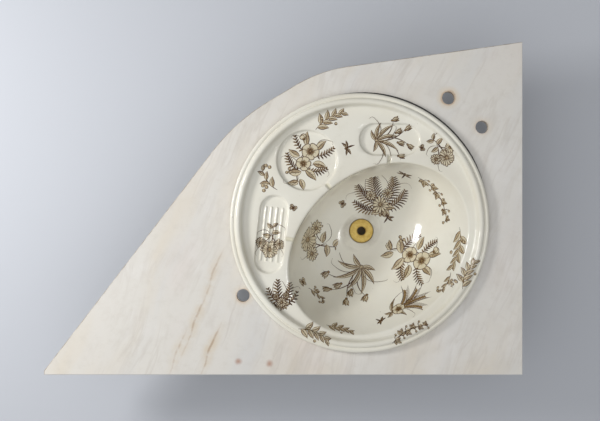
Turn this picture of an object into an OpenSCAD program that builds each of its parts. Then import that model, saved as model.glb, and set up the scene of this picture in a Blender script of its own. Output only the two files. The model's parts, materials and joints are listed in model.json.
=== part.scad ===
// Corner washstand top: a marble slab cut for the corner of a room, with a round
// drop-in ceramic basin that has its trays, drain channels and offset oval bowl
// moulded in one piece, and a brass waste through the bowl's floor.
//
// Millimetres. The origin is the corner of the slab where the two walls meet, at
// the slab's underside. +Z is up. The long wall edge runs along +X, the short wall
// edge along -Y, and the curved front edge faces -Y and +X.

/* [Marble slab] */
// Length of the long wall edge, measured to the sharp meeting point with the front edge
long_wall = 944.5; // [900:0.5:1000]
// Length of the short wall edge
short_wall = 653; // [625:1:690]
// Thickness of the slab
slab_t = 22; // [18:0.5:32]
// Angle between the long wall edge and the oblique part of the front edge
front_angle = 52.5; // [50:0.5:55]
// Angle between the long wall edge and the last straight part of the front edge
end_angle = 8; // [5:0.5:11]
// Turn of the front edge through its long bend
long_bend_turn = 21.5; // [18:0.5:25]
// Radius of the long bend
long_bend_r = 400; // [340:5:450]
// Length of the flat between the two bends
bend_flat = 60; // [30:1:80]
// Radius of the short bend
short_bend_r = 280; // [220:5:330]
// Length cut off the sharp end of the slab, along the long wall edge
nose_cut = 6; // [3:0.5:14]
// Width of the small bevel along the slab's upper edges
arris = 1.2; // [0.6:0.1:2.5]

/* [Holes in the slab] */
// Diameter of each of the three holes for fittings
fitting_hole_d = 25.4; // [20:0.1:32]
// Distance of the first tap hole from the basin's centre
tap_a_reach = 301; // [290:1:315]
// Direction of the first tap hole seen from the basin's centre
tap_a_angle = 234.5; // [228:0.5:238]
// Distance of the second tap hole from the basin's centre
tap_b_reach = 305; // [290:1:315]
// Direction of the second tap hole seen from the basin's centre
tap_b_angle = 218; // [214:0.5:222]
// Distance of the pull hole from the basin's centre
pull_reach = 269; // [267:0.5:280]
// Direction of the pull hole seen from the basin's centre
pull_angle = 32; // [26:0.5:36]

/* [Basin: place and rim] */
// Distance of the basin's centre from the short wall edge
basin_from_short_wall = 320; // [314:0.5:330]
// Distance of the basin's centre from the long wall edge
basin_from_long_wall = 298; // [292:0.5:304]
// Direction of the back of the basin, where the shelf is widest
basin_turn = -50; // [-60:1:-40]
// Outer diameter of the rim
rim_d = 508; // [500:1:514]
// Radius of the small outer roll of the rim
outer_roll_r = 4.8; // [4:0.1:5.5]
// Height of the small outer roll above the marble
outer_roll_h = 11; // [10:0.1:12.5]
// Radius of the large inner roll of the rim
main_roll_r = 6.2; // [5.5:0.1:7]
// Height of the large inner roll above the marble
main_roll_h = 14; // [13:0.1:17]
// Height of the valley between the two rolls above the marble
valley_h = 8.6; // [7.5:0.1:9.5]
// Radius of the cove between the rim's inner wall and the shelf
cove_r = 6; // [4:0.5:7]
// Distance from the crest of the large roll to the flat of the shelf
rim_to_shelf = 13.8; // [13:0.1:14.2]
// Thickness of the bedding that the rim sits in
bedding_t = 1.5; // [0.8:0.1:3]
// Distance of the bedding from the edge of the rim
bedding_setback = 2.5; // [1:0.5:5]
// Width that the rim overlaps the marble round the opening
rim_overlap = 14; // [11:0.5:16]
// Gap round the basin's body in the opening of the marble
body_gap = 4; // [2:0.5:6]

/* [Basin: shelf and bowl] */
// Height of the shelf above the top of the marble
shelf_rise = 0; // [-3:0.5:1]
// Thickness of the ceramic
wall_t = 9; // [7:0.5:11]
// Half of the bowl opening's length, across the basin
bowl_half_long = 193; // [183:0.5:193.5]
// Half of the bowl opening's width, from back to front
bowl_half_short = 151; // [142:0.5:151.5]
// Distance of the bowl opening's centre from the basin's centre, to the front
bowl_offset = 63.5; // [54:0.5:64]
// Distance of the bowl and its waste from the basin's middle line, to the brush tray
bowl_side = 4; // [0:0.5:4.5]
// Lean of the bowl's side from the vertical at its top, before the bowl is drawn back
side_lean = 18; // [15:0.5:22]
// Lean of the bowl's side where it turns into the floor
turn_lean = 34; // [30:0.5:38]
// Lean of the bowl's floor at the waste
floor_lean = 86; // [82:0.5:87]
// Radius of the bowl's side
side_r = 340; // [300:5:360]
// Radius of the turn from side to floor
turn_r = 92; // [84:1:96]
// Radius of the rounded lip between shelf and bowl
lip_r = 5; // [3.5:0.5:6]

/* [Basin: trays] */
// Depth of the trays below the shelf
tray_depth = 6.5; // [5:0.5:9]
// Radius of the cove round the floor of a tray
tray_cove_r = 4; // [2.5:0.5:4.5]
// Width of the bevelled edge of a tray
tray_edge = 1.6; // [1:0.1:2.2]
// Diameter of the round tray
cup_tray_d = 120; // [110:1:122]
// Distance of the round tray's centre from the basin's centre
cup_tray_reach = 160; // [158:0.5:162]
// Length of the brush tray
brush_tray_l = 155; // [136:1:157]
// Width of the brush tray
brush_tray_w = 57; // [50:1:58]
// Length of the soap tray
soap_tray_l = 120; // [104:1:124]
// Width of the soap tray
soap_tray_w = 64; // [56:1:66]
// Distance of each side tray's centre from the basin's centre
side_tray_reach = 174; // [170:0.5:175]
// Angle from the back of the basin to the brush tray's centre
brush_tray_angle = 57.5; // [56:0.5:60]
// Angle from the back of the basin to the soap tray's centre
soap_tray_angle = 60; // [57:0.5:62]
// Turn of the brush tray's long axis
brush_tray_turn = 46.5; // [44:0.5:50]
// Turn of the soap tray's long axis
soap_tray_turn = 49; // [46:0.5:52]
// Number of ribs in the brush tray
rib_count = 4; // [2:1:5]
// Distance from rib to rib
rib_pitch = 11; // [9:0.5:11.5]
// Height of the ribs above the floor of the tray
rib_h = 2; // [1:0.1:2.8]
// Radius of the top of a rib
rib_r = 2.6; // [2:0.1:4]
// Length of the ribs
rib_l = 104; // [80:1:108]
// Width of the drain channels from the trays to the bowl
channel_w = 9.4; // [7:0.1:11]
// Depth of the drain channels
channel_depth = 4; // [2.5:0.1:4.5]
// Distance from the basin's centre to the middle of each side channel
side_channel_reach = 141.5; // [139:0.5:144]
// Angle from the back of the basin to the middle of the brush tray's channel
brush_channel_angle = 63; // [61:0.5:65]
// Angle from the back of the basin to the middle of the soap tray's channel
soap_channel_angle = 64.5; // [62:0.5:67]
// Turn of each side channel
side_channel_turn = 41; // [36:0.5:46]

/* [Waste] */
// Distance of the waste from the basin's centre, to the front
waste_offset = 20; // [14:0.5:26]
// Diameter of the brass flange in the bowl
flange_d = 49.5; // [46:0.5:54]
// Thickness of the flange at its middle
flange_t = 3; // [2.5:0.1:4]
// Thickness of the flange at its edge
flange_edge_t = 1.8; // [1.2:0.1:2.4]
// Diameter of the drain hole in the flange
drain_d = 16.4; // [12:0.1:20]
// Width of the bevel round the drain hole
drain_bevel = 0.9; // [0.4:0.1:1.4]
// Outer diameter of the tail
tail_d = 33.2; // [30:0.1:36]
// Inner diameter of the tail below the flange
tail_bore_d = 25.4; // [22:0.1:27]
// Thickness of the flange's plate above the tail's wide bore
plate_t = 5; // [4:0.5:7]
// Length of the tail below the ceramic
tail_below = 42; // [34:1:55]
// Depth that the plain end of the tail, which takes the trap, is turned down
spigot_cut = 0.7; // [0.4:0.1:1.2]
// Length of the tail between the backnut and its plain end
thread_past_nut = 1.7; // [1:0.1:4]
// Clearance round the tail in the ceramic
tail_gap = 2; // [1:0.5:3]
// Clearance round the flange in its recess
recess_gap = 0.8; // [0.4:0.1:1.5]
// Thickness of the ceramic under the flange's recess
seat_t = 11; // [9:0.5:14]
// Width of the ceramic ring round the flange's recess, on the underside
boss_w = 9; // [7:0.5:12]
// Thickness of the washer under the flange
upper_washer_t = 1.5; // [1:0.1:2.5]
// Thickness of the washer under the ceramic
lower_washer_t = 3; // [2:0.1:4]
// Diameter of the washer under the ceramic
lower_washer_d = 60; // [54:0.5:64]
// Thickness of the brass slip washer
slip_washer_t = 1.6; // [1:0.1:2.5]
// Diameter of the brass slip washer
slip_washer_d = 57; // [52:0.5:62]
// Width of the backnut across its flats
nut_af = 50; // [46:0.5:54]
// Height of the backnut
nut_h = 11; // [9:0.5:14]
// Clearance between the tail and what is threaded or slipped on it
tail_fit = 0.3; // [0.2:0.05:0.5]

/* [Hidden] */
$fn = 96;

// Cutters run this far past the surface that they open.
past = 1;

// Colours of the finishes
marble = [0.85, 0.84, 0.81];
glaze = [0.86, 0.85, 0.79];
putty = [0.80, 0.78, 0.72];
brass = [0.76, 0.62, 0.30];
leather = [0.35, 0.24, 0.15];

// A unit vector at an angle.
function dir(a) = [cos(a), sin(a)];

// Displacement along an arc of radius r that turns clockwise from heading a0 to a1.
function arc_run(r, a0, a1) = r * [sin(a0) - sin(a1), cos(a1) - cos(a0)];

// The part of a disc beyond the chord between angles a0 and a1.
module disc_segment(c, r, a0, a1) {
  reach = 1.2 * r;
  intersection() {
    translate(c) circle(r, $fn = 360);
    polygon([c + r * dir(a0), c + reach * dir(a0), c + reach * dir(a1), c + r * dir(a1)]);
  }
}

// ---------------------------------------------------------------- marble slab

// The front edge starts at the sharp end, heading back along the oblique line.
oblique_heading = 180 + front_angle;
flat_heading = oblique_heading - long_bend_turn;
last_heading = 180 + end_angle;
sharp_end = [long_wall, 0];
front_end = [0, -short_wall];

// Where the two straight parts of the front edge would meet.
heading_cross = dir(oblique_heading).x * dir(last_heading).y
  - dir(oblique_heading).y * dir(last_heading).x;
end_gap = front_end - sharp_end;
oblique_l = (end_gap.x * dir(last_heading).y - end_gap.y * dir(last_heading).x) / heading_cross;
meeting = sharp_end + oblique_l * dir(oblique_heading);

// The bends and the flat between them, laid off back from the meeting point.
bends = arc_run(long_bend_r, oblique_heading, flat_heading)
  + bend_flat * dir(flat_heading)
  + arc_run(short_bend_r, flat_heading, last_heading);
bends_back = (bends.x * dir(last_heading).y - bends.y * dir(last_heading).x) / heading_cross;
long_bend_start = meeting - bends_back * dir(oblique_heading);
long_bend_c = long_bend_start + long_bend_r * dir(oblique_heading - 90);
long_bend_end = long_bend_c + long_bend_r * dir(flat_heading + 90);
short_bend_start = long_bend_end + bend_flat * dir(flat_heading);
short_bend_c = short_bend_start + short_bend_r * dir(flat_heading - 90);
short_bend_end = short_bend_c + short_bend_r * dir(last_heading + 90);

// The blunt end of the slab.
nose_top = [long_wall - nose_cut, 0];
nose_foot = [long_wall - nose_cut, -nose_cut * tan(front_angle)];

// Where the straight edges on each side of a bend would meet.
long_bend_corner = long_bend_start
  + long_bend_r * tan(long_bend_turn / 2) * dir(oblique_heading);
short_bend_corner = short_bend_start
  + short_bend_r * tan((flat_heading - last_heading) / 2) * dir(flat_heading);

// The slab's outline before its bends are cut, with the slab on the right of each edge.
slab_corners = [[0, 0], nose_top, nose_foot, long_bend_corner, short_bend_corner, front_end];
// A bend stands this far proud of its straight edges, so that it crosses them cleanly.
bend_over = 0.05;

basin_c = [basin_from_short_wall, -basin_from_long_wall];
tap_a = basin_c + tap_a_reach * dir(tap_a_angle);
tap_b = basin_c + tap_b_reach * dir(tap_b_angle);
pull = basin_c + pull_reach * dir(pull_angle);

rim_r = rim_d / 2;
opening_r = rim_r - rim_overlap;

// Bevel cutter along the edge from a to b, with the slab on its right.
module edge_bevel(a, b) {
  run = b - a;
  translate([a.x, a.y, slab_t])
    rotate([0, 0, atan2(run.y, run.x)])
      translate([-past, 0, 0])
        rotate([90, 0, 90])
          linear_extrude(norm(run) + 2 * past)
            polygon([[-arris - past, past], [past, past], [past, -arris - past]]);
}

// What a bend takes off its corner: everything beyond a bevelled disc.
module bend_cut(c, r, start, corner, end) {
  inner = 0.9;
  outer = 1.02;
  proud = bend_over * (corner - c) / r;
  difference() {
    translate([0, 0, -past])
      linear_extrude(slab_t + 2 * past)
        polygon([
          c + inner * (start - c),
          c + outer * (start - c),
          c + outer * (corner - c),
          c + outer * (end - c),
          c + inner * (end - c)
        ]);
    translate(c + proud)
      rotate_extrude($fn = 360)
        polygon([
          [0, -2 * past],
          [r, -2 * past],
          [r, slab_t - arris],
          [r - arris - 2 * past, slab_t + 2 * past],
          [0, slab_t + 2 * past]
        ]);
  }
}

module through_hole(at, d) {
  translate([at.x, at.y, -past]) cylinder(d = d, h = slab_t + 2 * past);
}

// The slab before its bends are cut.
module slab_blank() {
  corners = len(slab_corners);
  difference() {
    linear_extrude(slab_t) polygon(slab_corners);
    for (i = [0 : corners - 1]) edge_bevel(slab_corners[i], slab_corners[(i + 1) % corners]);
  }
}

module marble_slab() {
  color(marble)
    difference() {
      slab_blank();
      bend_cut(long_bend_c, long_bend_r, long_bend_start, long_bend_corner, long_bend_end);
      bend_cut(short_bend_c, short_bend_r, short_bend_start, short_bend_corner, short_bend_end);
      through_hole(basin_c, 2 * opening_r);
      for (hole = [tap_a, tap_b, pull]) through_hole(hole, fitting_hole_d);
    }
}

// ---------------------------------------------------------------------- basin

// The basin's own frame has its centre at the origin, z = 0 at the top of the
// marble, and its back, where the shelf is widest, along +x.
module in_basin_frame() {
  translate([basin_c.x, basin_c.y, slab_t]) rotate([0, 0, basin_turn]) children();
}

// Rim section, in radius and height.
body_r = opening_r - body_gap;
outer_roll_c = [rim_r - outer_roll_r, outer_roll_h - outer_roll_r];
main_roll_c = [outer_roll_c.x - outer_roll_r - main_roll_r + 0.2, main_roll_h - main_roll_r];
shelf_flat_r = main_roll_c.x - rim_to_shelf;
cove_c = [shelf_flat_r, shelf_rise + cove_r];
// The rim's inner wall is the line that touches the cove and the large roll.
cove_to_roll = main_roll_c - cove_c;
wall_angle = atan2(cove_to_roll.y, cove_to_roll.x)
  - acos((cove_r + main_roll_r) / norm(cove_to_roll));
wall_foot = cove_c + cove_r * dir(wall_angle);
wall_top = main_roll_c - main_roll_r * dir(wall_angle);
shelf_under = shelf_rise - wall_t;
corner_bevel = wall_t / 3;

module rim_section() {
  union() {
    // the body from the shelf's edge out to the valley between the rolls
    difference() {
      polygon([
        [shelf_flat_r, shelf_under],
        [body_r - corner_bevel, shelf_under],
        [body_r, shelf_under + corner_bevel],
        [body_r, bedding_t],
        [rim_r, bedding_t],
        [rim_r, outer_roll_c.y],
        outer_roll_c,
        [outer_roll_c.x, valley_h],
        [main_roll_c.x, valley_h],
        main_roll_c,
        wall_top,
        wall_foot,
        [shelf_flat_r, shelf_rise]
      ]);
      translate(cove_c) circle(cove_r);
    }
    translate(outer_roll_c) circle(outer_roll_r);
    translate(main_roll_c) circle(main_roll_r);
  }
}

// Bowl section, in radius and height. Its side and its turn into the floor are
// arcs that touch; the same centres carry the outside, one wall further out.
side_c = [bowl_half_short - side_r * cos(side_lean), shelf_rise + side_r * sin(side_lean)];
turn_c = side_c + (side_r - turn_r) * dir(-turn_lean);
floor_start = turn_c + turn_r * dir(-floor_lean);
floor_slope = 90 - floor_lean;
waste_r = flange_d / 2 + recess_gap;
floor_z = floor_start.y - (floor_start.x - waste_r) * tan(floor_slope);
seat_z = floor_z - flange_edge_t - upper_washer_t;
under_z = seat_z - seat_t;

// The bowl is drawn out across the basin, and drawn back to the waste as it deepens.
draw_back = (bowl_offset - waste_offset) / (shelf_rise - floor_z);

module drawn_bowl(half_long, half_short) {
  multmatrix([
    [1, 0, -draw_back, draw_back * shelf_rise - bowl_offset],
    [0, half_long / half_short, 0, bowl_side],
    [0, 0, 1, 0],
    [0, 0, 0, 1]
  ]) children();
}

// The section between the axis and the two arcs, grown by t.
module bowl_section(t) {
  side_end = side_c + (side_r + t) * dir(-turn_lean);
  floor_end = turn_c + (turn_r + t) * dir(-floor_lean);
  side_start = side_c + (side_r + t) * dir(-side_lean);
  union() {
    polygon([
      [0, side_start.y],
      side_start,
      side_end,
      floor_end,
      [0, floor_end.y - floor_end.x * tan(floor_slope)]
    ]);
    disc_segment(side_c, side_r + t, -side_lean, -turn_lean);
    disc_segment(turn_c, turn_r + t, -turn_lean, -floor_lean);
  }
}

// The lip is a roll between shelf and side. It meets the shelf at a slight angle.
lip_meet = 12;
lip_z = shelf_rise - lip_r * cos(lip_meet);
lip_c = [side_c.x + sqrt(pow(side_r + lip_r, 2) - pow(side_c.y - lip_z, 2)), lip_z];
lip_touch = side_c + side_r * (lip_c - side_c) / norm(lip_c - side_c);
lip_edge = [lip_c.x - lip_r * sin(lip_meet), shelf_rise];

module bowl_cut_section() {
  union() {
    bowl_section(0);
    difference() {
      polygon([
        [0, lip_touch.y],
        lip_touch,
        [lip_edge.x, lip_touch.y],
        lip_edge,
        [lip_edge.x, shelf_rise + past / 2],
        [0, shelf_rise + past / 2]
      ]);
      translate(lip_c) circle(lip_r);
    }
  }
}

module bowl_cut() {
  drawn_bowl(bowl_half_long, bowl_half_short)
    rotate_extrude($fn = 180) bowl_cut_section();
}

module bowl_outside() {
  half_long = bowl_half_long + wall_t;
  half_short = bowl_half_short + wall_t;
  drawn_bowl(half_long, half_short)
    rotate_extrude($fn = 180) bowl_section(wall_t);
}

// Half of the section of a tray, in radius and height: a flat floor, a cove and a
// bevelled edge at radius r.
module tray_section(r) {
  floor_at = shelf_rise - tray_depth;
  wall_r = r - tray_edge;
  union() {
    polygon([
      [0, floor_at],
      [wall_r - tray_cove_r, floor_at],
      [wall_r - tray_cove_r, floor_at + tray_cove_r],
      [wall_r, floor_at + tray_cove_r],
      [wall_r, shelf_rise - tray_edge],
      [r, shelf_rise],
      [r + past / 2, shelf_rise + past / 2],
      [0, shelf_rise + past / 2]
    ]);
    intersection() {
      translate([wall_r - tray_cove_r, floor_at + tray_cove_r]) circle(tray_cove_r);
      translate([wall_r - tray_cove_r, floor_at]) square(tray_cove_r);
    }
  }
}

// The ceramic that hangs below the shelf round a tray of radius r.
module pan_section(r) {
  pan_r = r - tray_edge + wall_t / 2;
  under = shelf_rise - tray_depth - wall_t;
  polygon([
    [0, under],
    [pan_r - wall_t, under],
    [pan_r, under + wall_t * 0.7],
    [pan_r, shelf_rise - wall_t / 2],
    [0, shelf_rise - wall_t / 2]
  ]);
}

// A long form with round ends, made from half a section: length l, width w.
module long_form(l, w) {
  straight = l - w;
  for (side = [0, 180])
    rotate([0, 0, side])
      translate([straight / 2, 0, 0])
        rotate([0, 0, -90]) rotate_extrude(angle = 180) children();
  for (side = [0, 180])
    rotate([0, 0, side])
      translate([-straight / 2, 0, 0])
        rotate([90, 0, 90])
          linear_extrude(straight) children();
}

// Places of the trays: the brush tray on one side, the soap tray on the other.
module at_brush_tray() {
  at = side_tray_reach * dir(brush_tray_angle);
  translate([at.x, at.y, 0]) rotate([0, 0, -brush_tray_turn]) children();
}

module at_soap_tray() {
  at = side_tray_reach * dir(-soap_tray_angle);
  translate([at.x, at.y, 0]) rotate([0, 0, soap_tray_turn]) children();
}

module at_cup_tray() {
  translate([cup_tray_reach, 0, 0]) children();
}

module brush_ribs() {
  first = -(rib_count - 1) / 2 * rib_pitch;
  rib_z = shelf_rise - tray_depth + rib_h - rib_r;
  for (i = [0 : rib_count - 1])
    translate([0, first + i * rib_pitch, rib_z]) {
      translate([-rib_l / 2, 0, 0]) rotate([0, 90, 0]) cylinder(r = rib_r, h = rib_l, $fn = 48);
      for (end = [-1, 1]) translate([end * rib_l / 2, 0, 0]) sphere(rib_r, $fn = 48);
    }
}

// A drain channel, open at the shelf, that runs along x from -l/2 to l/2.
module channel(l) {
  r = channel_w / 2;
  translate([-l / 2, 0, shelf_rise - channel_depth + r]) rotate([0, 90, 0]) cylinder(r = r, h = l);
  translate([-l / 2, -r, shelf_rise - channel_depth + r]) cube([l, channel_w, channel_depth]);
}

// Channels reach from inside each tray to inside the bowl.
side_channel_l = 48;
cup_land = (cup_tray_reach - cup_tray_d / 2) - (bowl_half_short - bowl_offset);
cup_channel_l = cup_land + 2 * (tray_edge + lip_r + tray_cove_r);

module channels() {
  brush_at = side_channel_reach * dir(brush_channel_angle);
  soap_at = side_channel_reach * dir(-soap_channel_angle);
  translate([brush_at.x, brush_at.y, 0])
    rotate([0, 0, side_channel_turn]) channel(side_channel_l);
  translate([soap_at.x, soap_at.y, 0])
    rotate([0, 0, -side_channel_turn]) channel(side_channel_l);
  translate([bowl_half_short - bowl_offset + cup_land / 2, 0, 0]) channel(cup_channel_l);
}

module at_waste() {
  translate([-waste_offset, bowl_side, 0]) children();
}

// The ring under the flange rises this far into the bowl's wall, and the flange's
// recess is cut this high above its seat.
ring_rise = wall_t / 2;
recess_h = wall_t + flange_t;

module basin() {
  color(glaze)
    in_basin_frame()
      union() {
        difference() {
          union() {
            rotate_extrude($fn = 240)
              union() {
                translate([0, shelf_under]) square([shelf_flat_r, wall_t]);
                rim_section();
              }
            bowl_outside();
            at_cup_tray() rotate_extrude() pan_section(cup_tray_d / 2);
            at_brush_tray() long_form(brush_tray_l, brush_tray_w) pan_section(brush_tray_w / 2);
            at_soap_tray() long_form(soap_tray_l, soap_tray_w) pan_section(soap_tray_w / 2);
            at_waste() translate([0, 0, under_z]) cylinder(r = waste_r + boss_w, h = seat_t + ring_rise);
          }
          bowl_cut();
          at_cup_tray() rotate_extrude() tray_section(cup_tray_d / 2);
          at_brush_tray() long_form(brush_tray_l, brush_tray_w) tray_section(brush_tray_w / 2);
          at_soap_tray() long_form(soap_tray_l, soap_tray_w) tray_section(soap_tray_w / 2);
          channels();
          at_waste() translate([0, 0, seat_z]) cylinder(r = waste_r, h = recess_h);
          at_waste() translate([0, 0, under_z - past])
            cylinder(d = tail_d + 2 * tail_gap, h = seat_t + 2 * past);
        }
        at_brush_tray() brush_ribs();
      }
}

// The bed of putty between the rim and the marble.
module rim_bedding() {
  color(putty)
    translate([basin_c.x, basin_c.y, slab_t])
      rotate_extrude($fn = 240)
        translate([opening_r, 0]) square([rim_overlap - bedding_setback, bedding_t]);
}

// ---------------------------------------------------------------------- waste

module on_waste_axis(z) {
  in_basin_frame() at_waste() translate([0, 0, z]) children();
}

flange_z = seat_z + upper_washer_t;

module waste_flange() {
  r = flange_d / 2;
  drain_r = drain_d / 2;
  tail_r = tail_d / 2;
  spigot_r = tail_r - spigot_cut;
  thread_foot = nut_z - flange_z - thread_past_nut;
  foot = under_z - flange_z - tail_below;
  color(brass)
    on_waste_axis(flange_z)
      rotate_extrude()
        polygon([
          [drain_r + drain_bevel, flange_t],
          [r * 0.62, flange_t],
          [r - 1, flange_edge_t + 0.3],
          [r, flange_edge_t - 0.6],
          [r, 0],
          [tail_r, 0],
          [tail_r, thread_foot],
          [spigot_r, thread_foot - spigot_cut],
          [spigot_r, foot],
          [tail_bore_d / 2, foot],
          [tail_bore_d / 2, flange_t - plate_t],
          [drain_r, flange_t - plate_t],
          [drain_r, flange_t - drain_bevel]
        ]);
}

// A flat ring on the tail.
module tail_ring(d, t) {
  difference() {
    cylinder(d = d, h = t);
    translate([0, 0, -past]) cylinder(d = tail_d + 2 * tail_fit, h = t + 2 * past);
  }
}

module waste_upper_washer() {
  color(leather) on_waste_axis(seat_z) tail_ring(flange_d - 1, upper_washer_t);
}

lower_washer_z = under_z - lower_washer_t;
slip_washer_z = lower_washer_z - slip_washer_t;
nut_z = slip_washer_z - nut_h;

module waste_lower_washer() {
  color(leather) on_waste_axis(lower_washer_z) tail_ring(lower_washer_d, lower_washer_t);
}

module waste_slip_washer() {
  color(brass) on_waste_axis(slip_washer_z) tail_ring(slip_washer_d, slip_washer_t);
}

module waste_backnut() {
  corner_r = nut_af / 2 / cos(30);
  crown = corner_r - nut_af / 2;
  color(brass)
    on_waste_axis(nut_z)
      difference() {
        intersection() {
          cylinder(r = corner_r, h = nut_h, $fn = 6);
          rotate_extrude()
            polygon([
              [0, 0],
              [corner_r - crown, 0],
              [corner_r + past, (crown + past) * tan(30)],
              [corner_r + past, nut_h],
              [0, nut_h]
            ]);
        }
        translate([0, 0, -past]) cylinder(d = tail_d + 2 * tail_fit, h = nut_h + 2 * past);
      }
}

marble_slab();
basin();
rim_bedding();
waste_flange();
waste_upper_washer();
waste_lower_washer();
waste_slip_washer();
waste_backnut();
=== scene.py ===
import json
import math
import random

import bmesh
import bpy
import numpy as np
from mathutils import Matrix, Vector
from mathutils.geometry import delaunay_2d_cdt


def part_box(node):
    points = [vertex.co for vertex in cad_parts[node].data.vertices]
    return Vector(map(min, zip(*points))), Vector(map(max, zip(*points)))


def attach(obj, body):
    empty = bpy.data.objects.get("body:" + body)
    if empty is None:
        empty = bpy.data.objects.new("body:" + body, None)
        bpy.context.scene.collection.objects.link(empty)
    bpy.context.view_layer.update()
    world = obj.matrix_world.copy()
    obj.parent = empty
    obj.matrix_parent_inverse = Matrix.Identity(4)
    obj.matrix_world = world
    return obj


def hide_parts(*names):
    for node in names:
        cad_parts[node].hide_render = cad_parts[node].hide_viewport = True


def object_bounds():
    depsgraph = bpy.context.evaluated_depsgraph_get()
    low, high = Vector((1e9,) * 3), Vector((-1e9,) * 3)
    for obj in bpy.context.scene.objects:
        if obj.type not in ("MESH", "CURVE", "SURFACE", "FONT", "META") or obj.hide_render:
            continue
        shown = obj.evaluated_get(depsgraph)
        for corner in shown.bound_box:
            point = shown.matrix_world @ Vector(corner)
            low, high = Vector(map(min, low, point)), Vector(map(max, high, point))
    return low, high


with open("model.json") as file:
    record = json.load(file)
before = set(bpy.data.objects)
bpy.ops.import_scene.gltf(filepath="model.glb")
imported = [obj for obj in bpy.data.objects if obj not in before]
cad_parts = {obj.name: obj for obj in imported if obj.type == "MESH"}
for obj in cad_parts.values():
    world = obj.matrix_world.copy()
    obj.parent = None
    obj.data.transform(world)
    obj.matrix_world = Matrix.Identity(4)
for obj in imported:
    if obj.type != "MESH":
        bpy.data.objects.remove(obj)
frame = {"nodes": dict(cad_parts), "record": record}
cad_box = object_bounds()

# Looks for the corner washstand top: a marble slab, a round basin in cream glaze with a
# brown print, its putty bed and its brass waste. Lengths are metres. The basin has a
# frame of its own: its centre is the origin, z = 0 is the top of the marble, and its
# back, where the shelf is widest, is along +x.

mm = 0.001

# ------------------------------------------------------------------ sizes from the frame

marble_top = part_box("marble_slab")[1].z
basin_lo, basin_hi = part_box("basin")
flange_lo, flange_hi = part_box("waste_flange")
nut_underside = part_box("waste_backnut")[0].z

rim_r = (basin_hi.x - basin_lo.x) / 2
basin_c = Vector(((basin_lo.x + basin_hi.x) / 2, (basin_lo.y + basin_hi.y) / 2, marble_top))
# The widest part of the shelf points at the front edge of the slab.
basin_turn = math.radians(-50)
basin_place = Matrix.Translation(basin_c) @ Matrix.Rotation(basin_turn, 4, "Z")
waste_c = (flange_lo + flange_hi) / 2
mounts = {m["name"]: Vector(m["pos_m"]) for m in frame["record"]["mounts"]}

# ------------------------------------------------------------------------- small helpers


def srgb(red, green, blue):
    """A colour read off a screen, 0 to 255, as Blender's linear values."""
    def linear(value):
        value /= 255
        return value / 12.92 if value <= 0.04045 else ((value + 0.055) / 1.055) ** 2.4
    return (linear(red), linear(green), linear(blue), 1)


def feed(tree, plug, value):
    """Sets a socket, or links it where the value comes from another node."""
    if isinstance(value, Field):
        tree.links.new(value.socket, plug)
    elif isinstance(value, bpy.types.NodeSocket):
        tree.links.new(value, plug)
    else:
        plug.default_value = value


def add_node(tree, kind, feeds=None, **settings):
    """A new node with its settings, and its inputs fed by name or number."""
    made = tree.nodes.new(kind)
    for name, value in settings.items():
        setattr(made, name, value)
    for plug, value in (feeds or {}).items():
        feed(tree, made.inputs[plug], value)
    return made


def parts(tree, vector):
    """The x, y and z of a vector."""
    return [Field(tree, part) for part in add_node(tree, "ShaderNodeSeparateXYZ", {0: vector}).outputs]


def added(name, data):
    """A new object, in the scene."""
    made = bpy.data.objects.new(name, data)
    bpy.context.scene.collection.objects.link(made)
    return made


class Field:
    """A number made by nodes. Sums, products and the like add Math nodes to its tree."""

    def __init__(self, tree, socket):
        self.tree = tree
        self.socket = socket

    def math(self, operation, *others, clamp=False):
        made = add_node(self.tree, "ShaderNodeMath", operation=operation, use_clamp=clamp)
        for plug, value in zip(made.inputs, (self,) + others):
            feed(self.tree, plug, value)
        return Field(self.tree, made.outputs[0])

    def __add__(self, other):
        return self.math("ADD", other)

    def __sub__(self, other):
        return self.math("SUBTRACT", other)

    def __rsub__(self, other):
        return -self + other

    def __mul__(self, other):
        return self.math("MULTIPLY", other)

    def __truediv__(self, other):
        return self.math("DIVIDE", other)

    def __neg__(self):
        return self.math("MULTIPLY", -1.0)

    def __abs__(self):
        return self.math("ABSOLUTE")

    def __pow__(self, power):
        return self.math("POWER", power)

    def root(self):
        return self.math("SQRT")

    def at_most(self, other):
        return self.math("MINIMUM", other)

    def at_least(self, other):
        return self.math("MAXIMUM", other)

    def soft_max(self, other, width):
        """The greater of two, with the change from one to the other rounded over a width."""
        return self.math("SMOOTH_MAX", other, width)

    def clamped(self):
        """Held between 0 and 1."""
        return self.math("ADD", 0.0, clamp=True)

    def ramp(self, start, end):
        """0 at start and 1 at end, with a smooth way between them."""
        made = add_node(
            self.tree, "ShaderNodeMapRange", {"Value": self, "From Min": start, "From Max": end},
            interpolation_type="SMOOTHSTEP")
        return Field(self.tree, made.outputs[0])


# ------------------------------------------------------------------------------ finishes


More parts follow.
